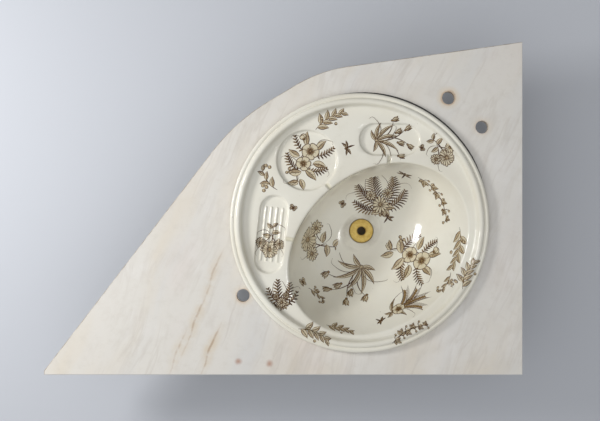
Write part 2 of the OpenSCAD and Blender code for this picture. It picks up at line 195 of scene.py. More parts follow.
class Finish:
    """A material under way, with the sockets of its shader set by name."""

    def __init__(self, name, **sockets):
        self.material = bpy.data.materials.new(name)
        self.material.use_nodes = True
        self.tree = self.material.node_tree
        self.shader = self.tree.nodes["Principled BSDF"]
        for socket, value in sockets.items():
            self.set(socket.replace("_", " "), value)

    def set(self, socket, value):
        feed(self.tree, self.shader.inputs[socket], value)

    def coords(self, shift=(0, 0, 0), turn=0.0):
        """Object coordinates from a shifted origin, then turned about z."""
        place = self.tree.nodes.new("ShaderNodeTexCoord").outputs["Object"]
        moved = add_node(self.tree, "ShaderNodeVectorMath", {0: place, 1: shift}, operation="SUBTRACT")
        return add_node(
            self.tree, "ShaderNodeVectorRotate", {"Vector": moved.outputs[0], "Angle": turn},
            rotation_type="Z_AXIS").outputs[0]

    def axes(self, vector):
        return parts(self.tree, vector)

    def noise(self, where, scale, detail, roughness=0.5):
        made = add_node(
            self.tree, "ShaderNodeTexNoise",
            {"Vector": where, "Scale": scale, "Detail": detail, "Roughness": roughness})
        return Field(self.tree, made.outputs["Fac"])

    def warped(self, where, scale, amount):
        """A place pushed about by a noise, by up to half the amount."""
        made = add_node(
            self.tree, "ShaderNodeTexNoise", {"Vector": where, "Scale": scale, "Detail": 2.0})
        centred = add_node(
            self.tree, "ShaderNodeVectorMath", {0: made.outputs["Color"], 1: (0.5, 0.5, 0.5)},
            operation="SUBTRACT")
        return add_node(
            self.tree, "ShaderNodeVectorMath",
            {0: centred.outputs[0], 1: (amount, amount, amount), 2: where},
            operation="MULTIPLY_ADD").outputs[0]

    def attribute(self, name):
        made = add_node(self.tree, "ShaderNodeAttribute", attribute_name=name)
        return Field(self.tree, made.outputs["Fac"])

    def facing(self):
        """The x, y and z of the way the surface faces."""
        return self.axes(add_node(self.tree, "ShaderNodeNewGeometry").outputs["Normal"])

    def mix(self, base, top, amount):
        """One colour over another, by an amount from 0 to 1."""
        made = add_node(self.tree, "ShaderNodeMix", data_type="RGBA")
        feed(self.tree, made.inputs[0], amount)
        feed(self.tree, made.inputs[6], base)
        feed(self.tree, made.inputs[7], top)
        return made.outputs[2]

    def bump(self, height, strength, distance):
        made = add_node(
            self.tree, "ShaderNodeBump",
            {"Height": height, "Strength": strength, "Distance": distance})
        self.set("Normal", made.outputs["Normal"])


def paint(obj, finish):
    """Gives every face of a piece one finish."""
    obj.data.materials.clear()
    obj.data.materials.append(finish.material)


# ---------------------------------------------------------------------------- the marble

# The veins run at this angle to the long wall edge.
vein_angle = math.radians(68)
# The brown veins: a place on each, how far it reaches both ways, and its strength.
brown_veins = [
    (Vector((0.612, -0.052, 0)), 0.075, 0.75), (Vector((0.640, -0.110, 0)), 0.12, 0.55),
    (Vector((0.677, -0.045, 0)), 0.06, 0.5), (Vector((0.604, -0.205, 0)), 0.06, 0.5)]
brown_glow = 20 * mm
brown_line = 3.6 * mm

# How strongly rust has stained the marble round each hole.
rusty_holes = [(mounts["tap_hole_a"], 0.5), (mounts["tap_hole_b"], 0.2), (mounts["pull_hole"], 0.3)]
stain_from, stain_to = 12.5 * mm, 27 * mm
rust_from, rust_to = 12.7 * mm, 16.5 * mm
# Two small rust spots near the long wall edge.
rust_spots = [Vector((0.558, -0.026, 0)), Vector((0.497, -0.022, 0))]
spot_r = 10 * mm

# The black line at the foot of the rim, dirt and painted gap shade: its way from the basin's centre,
# in plan, where it is full and where it ends outside the rim, how ragged it is, and how much wider it gets.
dirt_and_shade_way = Vector((math.cos(math.radians(236)), math.sin(math.radians(236))))
dirt_and_shade_full, dirt_and_shade_end = 1.0 * mm, 1.6 * mm
dirt_and_shade_ragged, dirt_and_shade_wider = 1.2 * mm, 2.8 * mm

arris = 1.2 * mm


def distance_in_plan(m, where, centre):
    """Distance from a vertical line through a point."""
    x, y, _ = m.axes(where)
    return ((x - centre.x) * (x - centre.x) + (y - centre.y) * (y - centre.y)).root()


def dirt_and_shade_place(m, here):
    """How far a point lies from the basin's axis, and how nearly it lies the blackened way."""
    away = distance_in_plan(m, here, basin_c)
    x, y, _ = m.axes(here)
    return away, ((x - basin_c.x) * dirt_and_shade_way.x + (y - basin_c.y) * dirt_and_shade_way.y) / away


def clouded_white(m, here):
    """White marble with beige and grey clouds and thin grey veins, all drawn out one way."""
    along = m.warped(m.coords(turn=-vein_angle), 3.2, 0.09)

    def streaks(run, across, detail=3.0, seed=0.0):
        """Noise drawn out along the veins: so many to the metre along and across."""
        stretched = add_node(
            m.tree, "ShaderNodeVectorMath", {0: along, 1: (run, across, across), 2: (seed, 0, 0)},
            operation="MULTIPLY_ADD").outputs[0]
        return m.noise(stretched, 1.0, detail, 0.55)

    colour = m.mix(srgb(228, 224, 216), srgb(226, 217, 201), streaks(1.6, 9.0).ramp(0.42, 0.75))
    colour = m.mix(colour, srgb(227, 216, 210), streaks(2.6, 7.0, seed=7.3).ramp(0.5, 0.78) * 0.55)
    colour = m.mix(colour, srgb(217, 217, 216), streaks(1.4, 12.0, seed=3.1).ramp(0.5, 0.8) * 0.5)
    grain = m.noise(here, 65.0, 6.0, 0.65)
    colour = m.mix(colour, srgb(206, 199, 187), grain.ramp(0.45, 0.8) * 0.3)
    clouds = m.noise(here, 9.0, 5.0, 0.6)
    colour = m.mix(colour, srgb(238, 235, 231), clouds.ramp(0.5, 0.75) * 0.5)

    # thin broken grey veins, where a noise crosses its middle value
    thin = abs(streaks(2.4, 17.0, 4.0, 11.0) - 0.5) * 26.0
    broken = streaks(5.0, 9.0, 3.0, 5.0).ramp(0.46, 0.62)
    colour = m.mix(colour, srgb(190, 180, 166), (1.0 - thin.at_most(1.0)) * broken * 0.24)
    faint = abs(streaks(3.4, 30.0, 4.0, 21.0) - 0.5) * 18.0
    return m.mix(
        colour, srgb(202, 194, 183), (1.0 - faint.at_most(1.0)) * clouds.ramp(0.42, 0.6) * 0.25)


def brown_veined(m, here, colour):
    """Patchy brown veins, each a fine line in a softer glow."""
    patches = m.noise(here, 38.0, 4.0, 0.65).ramp(0.3, 0.62) * 0.9 + 0.1
    for place, reach, strength in brown_veins:
        px, py, _ = m.axes(m.warped(m.coords(shift=place, turn=-vein_angle), 14.0, 0.016))
        fade = 1.0 - (abs(px) / reach).at_most(1.0)
        for width, tint in ((brown_glow, srgb(219, 204, 180)), (brown_line, srgb(176, 149, 122))):
            near = (1.0 - (abs(py) / width).at_most(1.0)) * fade
            colour = m.mix(colour, tint, near.ramp(0.0, 0.8) * strength * patches)
    return colour


def rust_stained(m, here, colour):
    """Rust round the holes and in two small spots."""
    worn = m.warped(here, 60.0, 6 * mm)
    for place, strength in rusty_holes:
        away = distance_in_plan(m, worn, place)
        for start, end, tint in (
                (stain_from, stain_to, srgb(222, 200, 164)), (rust_from, rust_to, srgb(182, 144, 104))):
            colour = m.mix(colour, tint, (1.0 - away.ramp(start, end)) * strength)
    for place in rust_spots:
        spot = 1.0 - distance_in_plan(m, worn, place).ramp(0.0, spot_r)
        colour = m.mix(colour, srgb(176, 124, 96), spot * 0.75)
    return colour


def dirt_and_gap_shade_lined(m, here, colour):
    """The black line on the marble at the foot of the basin's rim: dirt and painted gap shade."""
    z = m.axes(here)[2]
    away, toward = dirt_and_shade_place(m, here)
    ragged = m.noise(here, 120.0, 3.0, 0.6) * dirt_and_shade_ragged - toward.ramp(0.72, 0.96) * dirt_and_shade_wider
    foot = (away + ragged).ramp(rim_r + dirt_and_shade_end, rim_r + dirt_and_shade_full)
    top_only = z.ramp(marble_top - 0.6 * mm, marble_top - 0.2 * mm)
    # painted shade and dirt: a near black line on the marble along the rim's foot, on one side
    return m.mix(colour, srgb(24, 21, 18), foot * top_only * toward.ramp(0.68, 0.8))


def honed_marble():
    m = Finish("honed_marble", Roughness=0.42)
    here = m.coords()
    colour = clouded_white(m, here)
    for change in (brown_veined, rust_stained, dirt_and_gap_shade_lined):
        colour = change(m, here, colour)

    # the bevel, with brown dirt along the front arris and a painted highlight along the other arrises; the
    # sawn edges and the rough underside
    z = m.axes(here)[2]
    nx, ny, nz = m.facing()
    bevel = nz.ramp(0.97, 0.9) * z.ramp(marble_top - 1.6 * mm, marble_top - arris)
    front = (nx - ny).ramp(0.1, 0.3)
    patchy = m.noise(here, 45.0, 4.0, 0.65).ramp(0.34, 0.6)
    colour = m.mix(colour, srgb(134, 112, 84), bevel * front * (patchy * 0.5 + 0.25))
    # painted highlight: the bevel on the wall edges is painted near white, as an arris catching the light
    colour = m.mix(colour, srgb(238, 236, 231), bevel * (1.0 - front) * 0.7)
    side = nz.ramp(0.5, 0.2) * (1.0 - nz.ramp(-0.2, -0.5))
    colour = m.mix(colour, srgb(198, 190, 176), side * m.noise(here, 30.0, 4.0).ramp(0.3, 0.7) * 0.7)
    below = nz.ramp(-0.3, -0.7)
    colour = m.mix(colour, srgb(176, 172, 164), below * m.noise(here, 12.0, 5.0, 0.65).ramp(0.25, 0.7))
    m.set("Base Color", colour)

    fine = m.noise(here, 160.0, 4.0, 0.6)
    m.set("Roughness", fine.ramp(0.3, 0.7) * 0.14 + 0.3 + side * 0.25 + below * 0.35)
    saw = add_node(
        m.tree, "ShaderNodeTexWave",
        {"Vector": here, "Scale": 55.0, "Distortion": 3.0, "Detail": 3.0, "Detail Scale": 2.0},
        bands_direction="X")
    rough = Field(m.tree, saw.outputs["Fac"]) * below + fine * 0.25
    m.bump(rough, 0.25, 0.6 * mm)
    return m


# ----------------------------------------------------------------------------- the basin

# The rim, from outside: two rolls with a valley between them, and a cove down to the shelf.
outer_roll_r = 4.8 * mm
outer_roll_h = 11 * mm
main_roll_r = 6.2 * mm
main_roll_h = 14 * mm
roll_overlap = 0.2 * mm
valley_r = 1.2 * mm
cove_r = 6 * mm
rim_to_shelf = 13.8 * mm
bedding_t = 1.5 * mm
body_r = 236 * mm
wall_t = 9 * mm
foot_round = 1.2 * mm

# The bowl: half its mouth, where its middle and its waste lie, and the two arcs of its
# side, with the leans in degrees at which they start and end.
bowl_half_long = 193 * mm
bowl_half_short = 151 * mm
bowl_offset, bowl_side = 63.5 * mm, 4 * mm
waste_offset = 20 * mm
side_r = 340 * mm
turn_r = 92 * mm
side_lean, turn_lean, floor_lean = 18, 34, 86
lip_r = 5 * mm
floor_slope = math.tan(math.radians(90 - floor_lean))

# The recess of the waste in the bowl's floor, and the boss round it underneath.
waste_r = 25.55 * mm
waste_edge = 0.7 * mm
seat_below_floor = 3.3 * mm
seat_t = 11 * mm
tail_hole_r = 18.6 * mm
boss_r = 34.55 * mm
boss_cove = 2 * mm

putty_inner_r = 240 * mm
putty_outer_r = 251.5 * mm

# The trays, the pan under them, the channels, and the ribs in the long tray.
tray_depth = 6.5 * mm
tray_wall = 4.2 * mm
tray_edge = 1.4 * mm
pan_margin = 3.6 * mm
channel_w = 9.4 * mm
channel_depth = 4 * mm
rib_pitch = 11 * mm
rib_count = 4
rib_l = 104 * mm
rib_r, rib_h = 2.6 * mm, 2 * mm

thread_pitch = 2.3 * mm
thread_depth = 0.75 * mm
# The turned waste, in millimetres.
flange_r, flange_t = 24.75, 3.0
drain_r, plate_t = 8.2, 5.0
tail_r, tail_bore_r = 16.6, 12.7
spigot_cut, thread_past_nut = 0.7, 1.7


def heading(degrees):
    return np.array([math.cos(math.radians(degrees)), math.sin(math.radians(degrees))])


def at(reach, degrees):
    """A place at a distance from the basin's centre, at an angle from its back."""
    return tuple(reach * mm * heading(degrees))


# Each tray and channel: its place in the basin, turn of its long axis, length and width.
trays = {
    "Cup tray": (at(160, 0), 0, 120 * mm, 120 * mm),
    "Brush tray": (at(174, 57.5), -46.5, 155 * mm, 57 * mm),
    "Soap tray": (at(174, -60), 49, 120 * mm, 64 * mm),
}
channels = {
    "Cup channel": (at(94, 0), 0, 44 * mm, channel_w),
    "Brush channel": (at(141.5, 63), 41, 48 * mm, channel_w),
    "Soap channel": (at(141.5, -64.5), -41, 48 * mm, channel_w),
}


def left_of(axis):
    """The axis turned a quarter to its left."""
    return np.array([-axis[1], axis[0]])


def ring(radius, z, around):
    """A level ring of points about the z axis, at some angles."""
    return np.c_[radius * np.cos(around), radius * np.sin(around), np.full_like(around, z)]


def new_mesh(name, verts, faces, **layers):
    """A mesh, with a number or a vector kept at each vertex under each given name."""
    made = bpy.data.meshes.new(name)
    made.from_pydata(verts.tolist(), [], faces)
    for key, values in layers.items():
        kind, plug = ("FLOAT_VECTOR", "vector") if values.ndim == 2 else ("FLOAT", "value")
        made.attributes.new(key, kind, "POINT").data.foreach_set(plug, values.ravel())
    return made


def arc(centre, radius, start, end, steps):
    """Points along an arc, from one direction to another in degrees."""
    turn = np.radians(np.linspace(start, end, steps + 1))
    return np.c_[centre[0] + radius * np.cos(turn), centre[1] + radius * np.sin(turn)]


def direction(a, b):
    """The direction from a to b in degrees."""
    return math.degrees(math.atan2(b[1] - a[1], b[0] - a[0]))


outer_roll_c = np.array([rim_r - outer_roll_r, outer_roll_h - outer_roll_r])
main_roll_c = np.array([
    outer_roll_c[0] - outer_roll_r - main_roll_r + roll_overlap, main_roll_h - main_roll_r])
shelf_r = main_roll_c[0] - rim_to_shelf
cove_c = np.array([shelf_r, cove_r])
side_c = np.array([
    bowl_half_short - side_r * math.cos(math.radians(side_lean)),
    side_r * math.sin(math.radians(side_lean))])
turn_c = side_c + (side_r - turn_r) * heading(-turn_lean)
floor_start = turn_c + turn_r * heading(-floor_lean)
floor_z = floor_start[1] - (floor_start[0] - waste_r) * floor_slope
draw_back = (bowl_offset - waste_offset) / -floor_z
seat_z = floor_z - seat_below_floor
under_z = seat_z - seat_t


def rim_section():
    """The rim from the underside of the shelf, up over both rolls and down to the shelf."""
    # the small arc that fills the valley touches both rolls
    to_outer = outer_roll_r + valley_r
    to_main = main_roll_r + valley_r
    apart = main_roll_c - outer_roll_c
    gap = np.linalg.norm(apart)
    reach = (to_outer ** 2 - to_main ** 2 + gap ** 2) / (2 * gap)
    rise = math.sqrt(to_outer ** 2 - reach ** 2)
    valley_c = outer_roll_c + apart / gap * reach - rise * left_of(apart) / gap
    # the inner wall is the line that touches the main roll and the cove
    span = main_roll_c - cove_c
    lean = math.degrees(
        math.atan2(span[1], span[0]) - math.acos((cove_r + main_roll_r) / np.linalg.norm(span)))
    low = wall_t / 3
    return np.vstack([
        [[body_r - low, -wall_t], [body_r - low / 3, -wall_t + low / 3], [body_r, -wall_t + low]],
        [[body_r, bedding_t - 0.5 * mm], [body_r + 0.5 * mm, bedding_t]],
        arc((rim_r - foot_round, bedding_t + foot_round), foot_round, -90, 0, 4),
        arc(outer_roll_c, outer_roll_r, 0, direction(outer_roll_c, valley_c), 14),
        arc(valley_c, valley_r, direction(valley_c, outer_roll_c),
            direction(valley_c, main_roll_c), 5),
        arc(main_roll_c, main_roll_r, direction(main_roll_c, valley_c), lean + 180, 16),
        arc(cove_c, cove_r, lean, -90, 12),
    ])


def drawn(radius, z, phi, half_long, half_short):
    """A ring of the bowl, drawn out across the basin and over to the waste."""
    x = radius * np.cos(phi) - draw_back * z - bowl_offset
    y = radius * np.sin(phi) * half_long / half_short + bowl_side
    return np.c_[x, y, np.full_like(phi, z)]


def round_ring(radius, z, phi):
    """A ring round the waste."""
    return ring(radius, z, phi) + (-waste_offset, bowl_side, 0)


def floor_ring(start, end, share, half_long, half_short, start_rz):
    """A ring on the bowl's floor, part of the way from the drawn ring to the round one."""
    between = start * (1 - share) + end * share
    z = between[:, 2]
    for _ in range(3):
        x = between[:, 0] + bowl_offset + draw_back * z
        y = between[:, 1] - bowl_side
        radius = np.hypot(x, y * half_short / half_long)
        z = start_rz[1] - (start_rz[0] - radius) * floor_slope
    between[:, 2] = z
    return between


# The least distances of the fine points on the shelf, to its edges and to each other.
fine_margin = 0.9 * mm
fine_apart = 0.75 * mm
# How far below the lip the trays and channels fade out, inside the bowl and on its outside.
fade_inside = 11 * mm
fade_outside = 24 * mm

# How closely the lip is divided, and how far past a channel's end the close part goes on.
lip_step = 3.7 * mm
lip_step_at_channel = 1.1 * mm
channel_margin = 4 * mm

# The lip meets the shelf at this angle.
lip_meet = 12
lip_z = -lip_r * math.cos(math.radians(lip_meet))
lip_c = np.array([side_c[0] + math.sqrt((side_r + lip_r) ** 2 - (side_c[1] - lip_z) ** 2), lip_z])
lip_edge = lip_c[0] - lip_r * math.sin(math.radians(lip_meet))


def bowl_rings(phi):
    """Rings from the lip down to the waste, through it, and up the outside of the bowl."""
    inside = (bowl_half_long, bowl_half_short)
    outside = (bowl_half_long + wall_t, bowl_half_short + wall_t)
    touch = direction(lip_c, side_c)
    section = np.vstack([
        arc(lip_c, lip_r, 90 + lip_meet, touch, 9),
        arc(side_c, side_r, touch - 180, -turn_lean, 12)[1:],
        arc(turn_c, turn_r, -turn_lean, -floor_lean, 18)[1:],
    ])
    rings = [drawn(r, z, phi, *inside) for r, z in section]
    mouth = round_ring(waste_r + waste_edge, 0, phi)
    rings += [floor_ring(rings[-1], mouth, s, *inside, section[-1]) for s in (0.5, 1.0)]
    top = rings[-1][:, 2].mean()
    well = [
        (waste_r + waste_edge * 0.3, top - waste_edge * 0.3), (waste_r, top - waste_edge),
        (waste_r, seat_z), (tail_hole_r, seat_z), (tail_hole_r, under_z + mm),
        (tail_hole_r + mm, under_z), (boss_r - mm, under_z), (boss_r, under_z + mm),
    ]
    rings += [round_ring(r, z, phi) for r, z in well]
    back = np.vstack([
        arc(turn_c, turn_r + wall_t, -floor_lean, -turn_lean, 10),
        arc(side_c, side_r + wall_t, -turn_lean,
            math.degrees(math.asin((-wall_t - side_c[1]) / (side_r + wall_t))), 8)[1:],
    ])
    up = [drawn(r, z, phi, *outside) for r, z in back]
    foot = round_ring(boss_r + boss_cove, 0, phi)
    rings += [floor_ring(up[0], foot, s, *outside, back[0]) for s in (1.0, 0.5)]
    return rings + up, len(section)


def near_channel(points):
    """Which points lie in or beside a drain channel."""
    hit = np.zeros(len(points), bool)
    for (cx, cy), turn, length, width in channels.values():
        axis = heading(turn)
        off = points[:, :2] - (cx, cy)
        run = off @ axis
        side = off @ left_of(axis)
        hit |= (np.abs(run) < length / 2 + channel_margin) & (np.abs(side) < width * 0.75)
    return hit


def bowl_angles():
    """Angles round the bowl, close together where a channel cuts the lip."""
    fine = np.linspace(0, 2 * math.pi, 7200, endpoint=False)
    lip = drawn(lip_edge, 0, fine, bowl_half_long, bowl_half_short)
    step = np.linalg.norm(np.roll(lip, -1, 0) - lip, axis=1)
    want = np.where(near_channel(lip), lip_step_at_channel, lip_step)
    count = np.cumsum(step / want)
    return fine[np.searchsorted(count, np.arange(1, int(count[-1]) + 1) - 0.5)]


def rounded_form(place, turn, length, width, grow, spacing):
    """Points round a long form with round ends, grown by a distance."""
    radius = width / 2 + grow
    if radius <= 0:
        return np.zeros((0, 2))
    half = (length - width) / 2
    straight = max(1, round(2 * half / spacing)) if half > 0 else 1
    bend = max(6, round(math.pi * radius / spacing))
    right = arc((half, 0), radius, -90, 90, bend)
    left = arc((-half, 0), radius, 90, 270, bend)
    top = np.c_[np.linspace(half, -half, straight + 1), np.full(straight + 1, radius)][1:-1]
    outline = np.vstack([right, top, left, -top])
    axis = heading(turn)
    return outline @ np.array([axis, left_of(axis)]) + np.array(place)


def thinned(points, least, kept):
    """Those points that keep a least distance from the kept ones and from each other."""
    kept = list(kept)
    first = len(kept)
    cells = {}
    for p in kept:
        cells.setdefault((int(p[0] // least), int(p[1] // least)), []).append(p)
    for p in points:
        i, j = int(p[0] // least), int(p[1] // least)
        near = [q for a in (i - 1, i, i + 1) for b in (j - 1, j, j + 1) for q in cells.get((a, b), ())]
        if all((p[0] - q[0]) ** 2 + (p[1] - q[1]) ** 2 >= least ** 2 for q in near):
            kept.append(p)
            cells.setdefault((i, j), []).append(p)
    return np.array(kept[first:])


def shelf_sheet(inner, outer, fine_rows, fill, z):
    """A flat sheet between two loops, with points close together along the trays' edges."""
    points = list(np.vstack([inner, outer]))
    centre = (inner.max(axis=0) + inner.min(axis=0)) / 2
    spread = np.ptp(inner, axis=0) / 2
    outer_r = np.linalg.norm(outer, axis=1).min()

    def from_bowl(some):
        """1 on the oval that the inner loop follows, and less inside it."""
        return np.hypot((some[:, 0] - centre[0]) / spread[0], (some[:, 1] - centre[1]) / spread[1])

    def on_sheet(some, margin):
        clear = from_bowl(some) > 1 + margin / spread.min()
        return some[clear & (np.linalg.norm(some, axis=1) < outer_r - margin)]

    rows = on_sheet(np.vstack(fine_rows), fine_margin)
    points += list(thinned(rows, fine_apart, points))
    side = np.arange(-rim_r, rim_r, fill)
    lattice = np.array([(a, b) for a in side for b in side])
    lattice[:, 1] += (np.arange(len(lattice)) // len(side) % 2) * fill / 2
    points += list(thinned(on_sheet(lattice, fill * 0.5), fill * 0.55, points))
    edges = [(i, (i + 1) % len(inner)) for i in range(len(inner))]
    edges += [(len(inner) + i, len(inner) + (i + 1) % len(outer)) for i in range(len(outer))]
    verts, _, faces, _, _, _ = delaunay_2d_cdt(
        [Vector(p) for p in points], edges, [], 0, 1e-7)
    verts = np.array([tuple(v) for v in verts])
    faces = np.array([tuple(f) for f in faces])
    # a face with all its corners on the inner loop lies over the bowl
    over_bowl = (faces < len(inner)).all(axis=1) | (from_bowl(verts[faces].mean(axis=1)) < 0.97)
    return np.c_[verts, np.full(len(verts), z)], faces[~over_bowl]


class Skin:
    """Vertices and faces gathered into one mesh, with two numbers kept at each vertex.

    open is 1 on the glazed upper side and 0 underneath, and fade is how fully the trays,
    ribs and channels are pressed in there.
    """

    def __init__(self):
        self.verts, self.faces, self.open, self.fade = [], [], [], []
        self.count = 0

    def add(self, verts, faces, is_open, fade):
        """Adds a sheet. Each number is one for all its vertices, or one for each."""
        self.faces += [tuple(int(i) + self.count for i in f) for f in faces]
        self.verts.append(verts)
        self.open.append(np.broadcast_to(is_open, len(verts)))
        self.fade.append(np.broadcast_to(fade, len(verts)))
        self.count += len(verts)

    def mesh(self, name):
        return new_mesh(
            name, np.vstack(self.verts), self.faces,
            open=np.concatenate(self.open), fade=np.concatenate(self.fade))


def ring_faces(rows, columns):
    """Quads between closed rings of points."""
    return [
        (r * columns + c, r * columns + (c + 1) % columns,
         (r + 1) * columns + (c + 1) % columns, (r + 1) * columns + c)
        for r in range(rows - 1) for c in range(columns)]


def tube_faces(rows, columns):
    """Quads between closed rings of points, and from the last ring back to the first."""
    last = (rows - 1) * columns
    return ring_faces(rows, columns) + [
        (last + c, last + (c + 1) % columns, (c + 1) % columns, c) for c in range(columns)]


def basin_blank():
    """The basin before its trays are pressed: rim, bowl, and the two faces of the shelf."""
    skin = Skin()
    columns = 400
    around = np.linspace(0, 2 * math.pi, columns, endpoint=False)
    section = rim_section()
    rim = np.vstack([ring(r, z, around) for r, z in section])
    skin.add(rim, ring_faces(len(section), columns), 1.0, 0.0)

    phi = bowl_angles()
    rings, inside_rows = bowl_rings(phi)
    bowl = np.vstack(rings)
    is_open = np.repeat(np.arange(len(rings)) < inside_rows, len(phi)).astype(float)
    depth = np.where(
        is_open > 0, -bowl[:, 2] / fade_inside, (-bowl[:, 2] - wall_t) / fade_outside)
    skin.add(bowl, ring_faces(len(rings), len(phi)), is_open, np.clip(1 - depth, 0, 1))

    # rows of points along the edge of each tray, channel and rib, so many mm out from it
    rows = []
    for form in trays.values():
        rows += [rounded_form(*form, out * mm, 2.6 * mm)
                 for out in (1.6, 0.6, -0.1, -0.8, -1.5, -2.3, -3.2, -4.3, -5.6, -7.2, -9.5)]
    for form in channels.values():
        rows += [rounded_form(*form, out * mm, 1.8 * mm) for out in (1.2, 0.1, -0.9, -2.0, -3.2, -4.5)]
    place, turn, _, _ = trays["Brush tray"]
    across = left_of(heading(turn))
    for i in range(rib_count):
        middle = np.array(place) + (i - (rib_count - 1) / 2) * rib_pitch * across
        rows += [rounded_form(middle, turn, rib_l + 2 * out * mm, 2 * out * mm, 0, 1.8 * mm)
                 for out in (0.01, 1.0, 1.8, 2.4, 3.0, 3.8)]
    top_outer = ring(shelf_r, 0, around)[:, :2]
    verts, faces = shelf_sheet(rings[0][:, :2], top_outer, rows, fill=7 * mm, z=0)
    skin.add(verts, faces, 1.0, 1.0)

    rows = []
    for form in trays.values():
        rows += [rounded_form(*form, out * mm, 5 * mm) for out in (4.5, 3.0, 1.5, -0.5, -2.5, -4.5)]
    under_outer = ring(section[0][0], 0, around)[:, :2]
    verts, faces = shelf_sheet(rings[-1][:, :2], under_outer, rows, fill=9 * mm, z=-wall_t)
    skin.add(verts, faces, 0.0, 1.0)
    return skin.mesh("basin_blank")


class Works:
    """A Geometry Nodes tree under way, with its sizes as named inputs."""

    def __init__(self, name):
        self.tree = bpy.data.node_groups.new(name, "GeometryNodeTree")
        self.tree.interface.new_socket("Geometry", in_out="INPUT", socket_type="NodeSocketGeometry")
        self.tree.interface.new_socket("Geometry", in_out="OUTPUT", socket_type="NodeSocketGeometry")
        self.source = self.tree.nodes.new("NodeGroupInput")
        self.sink = self.tree.nodes.new("NodeGroupOutput")
        self.sizes = {}

    def size(self, name, value, kind="NodeSocketFloat"):
        """A named input, with the value that the modifier gives it."""
        made = self.tree.interface.new_socket(name, in_out="INPUT", socket_type=kind)
        self.sizes[made.identifier] = value
        return Field(self.tree, self.source.outputs[name])

    def position(self):
        return parts(self.tree, add_node(self.tree, "GeometryNodeInputPosition").outputs[0])

    def attribute(self, name, kind="FLOAT"):
        made = add_node(
            self.tree, "GeometryNodeInputNamedAttribute", {"Name": name}, data_type=kind)
        return Field(self.tree, made.outputs["Attribute"])

    def store(self, geometry, name, value):
        made = add_node(
            self.tree, "GeometryNodeStoreNamedAttribute",
            {"Geometry": geometry, "Name": name}, data_type="FLOAT", domain="POINT")
        feed(self.tree, made.inputs["Value"], value)
        return made.outputs["Geometry"]

    def finish(self, geometry, material):
        """Ends the tree in Realize Instances and Set Material."""
        real = add_node(self.tree, "GeometryNodeRealizeInstances", {"Geometry": geometry})
        made = add_node(
            self.tree, "GeometryNodeSetMaterial",
            {"Geometry": real.outputs[0], "Material": material})
        self.tree.links.new(made.outputs[0], self.sink.inputs[0])

    def applied(self, name, mesh):
        """A new object with the tree's result as a plain mesh."""
        carrier = added(name + "_carrier", mesh)
        modifier = carrier.modifiers.new(self.tree.name, "NODES")
        modifier.node_group = self.tree
        for identifier, value in self.sizes.items():
            modifier[identifier] = value
        graph = bpy.context.evaluated_depsgraph_get()
        result = bpy.data.meshes.new_from_object(carrier.evaluated_get(graph))
        bpy.data.objects.remove(carrier)
        return added(name, result)


def press_trays(material):
    """The tree that presses the trays and channels into the shelf and raises the ribs."""
    w = Works("press_trays")
    x, y, z = w.position()
    is_open = w.attribute("open")
    fade = w.attribute("fade")
    depth = w.size("Tray depth", tray_depth)
    run = w.size("Width of the tray wall and cove", tray_wall)
    rounding = w.size("Rounding of the tray edge", tray_edge)
    margin = w.size("Margin of the pan under a tray", pan_margin)
    trough = w.size("Channel depth", channel_depth)
    height = w.size("Rib height", rib_h)
    radius = w.size("Rib radius", rib_r)

    def from_form(form, shift=0.0):
        """Distance from the middle line of a long form."""
        (cx, cy), turn, length, width = form
        axis = heading(turn)
        dx, dy = x - cx, y - cy
        along = dx * axis[0] + dy * axis[1]
        across = dy * axis[0] - dx * axis[1] - shift
        past_end = (abs(along) - (length - width) / 2).at_least(0.0)
        return (past_end * past_end + across * across).root()

    closed = 1.0 - is_open
    sunk = wet = None
    for form in trays.values():
        inward = -from_form(form) + form[3] / 2 + closed * margin
        share = (inward.soft_max(0.0, rounding) / run).at_most(1.0)
        tray = (1.0 - (1.0 - share) ** 2.6) * depth
        pooling = share * (1.0 - share) * 0.8
        sunk = tray if sunk is None else sunk.at_least(tray)
        wet = pooling if wet is None else wet.at_least(pooling)
    for form in channels.values():
        off = from_form(form) / (form[3] / 2)
        channel = (1.0 - off * off - closed * 2.0) * trough
        wet = wet.at_least((channel - sunk) / trough)
        sunk = sunk.soft_max(channel, 0.8 * mm)
    place, turn, _, _ = trays["Brush tray"]
    raised = None
    for i in range(rib_count):
        shift = (i - (rib_count - 1) / 2) * rib_pitch
        off = from_form((place, turn, rib_l, 0.0), shift)
        crown = (radius * radius - off * off).at_least(0.0).root() - radius + height
        rib = crown.soft_max(0.0, 0.5 * mm)
        raised = rib if raised is None else raised.at_least(rib)
    change = (raised * is_open - sunk) * fade
    lift = add_node(w.tree, "ShaderNodeCombineXYZ", {"Z": change})
    moved = add_node(
        w.tree, "GeometryNodeSetPosition",
        {"Geometry": w.source.outputs[0], "Offset": lift.outputs[0]})
    pooled = w.store(moved.outputs[0], "pool", wet * fade * is_open)
    w.finish(pooled, material)
    return w


def outward(mesh):
    """Joins doubled vertices and turns every face outwards."""
    work = bmesh.new()
    work.from_mesh(mesh)
    bmesh.ops.remove_doubles(work, verts=work.verts, dist=0.02 * mm)
    bmesh.ops.recalc_face_normals(work, faces=work.faces)
    work.to_mesh(mesh)
    work.free()


def smooth(obj, sharp_above):
    """Smooth shading, with edges kept sharp above an angle in degrees."""
    obj.data.shade_smooth()
    obj.data.set_sharp_from_angle(angle=math.radians(sharp_above))


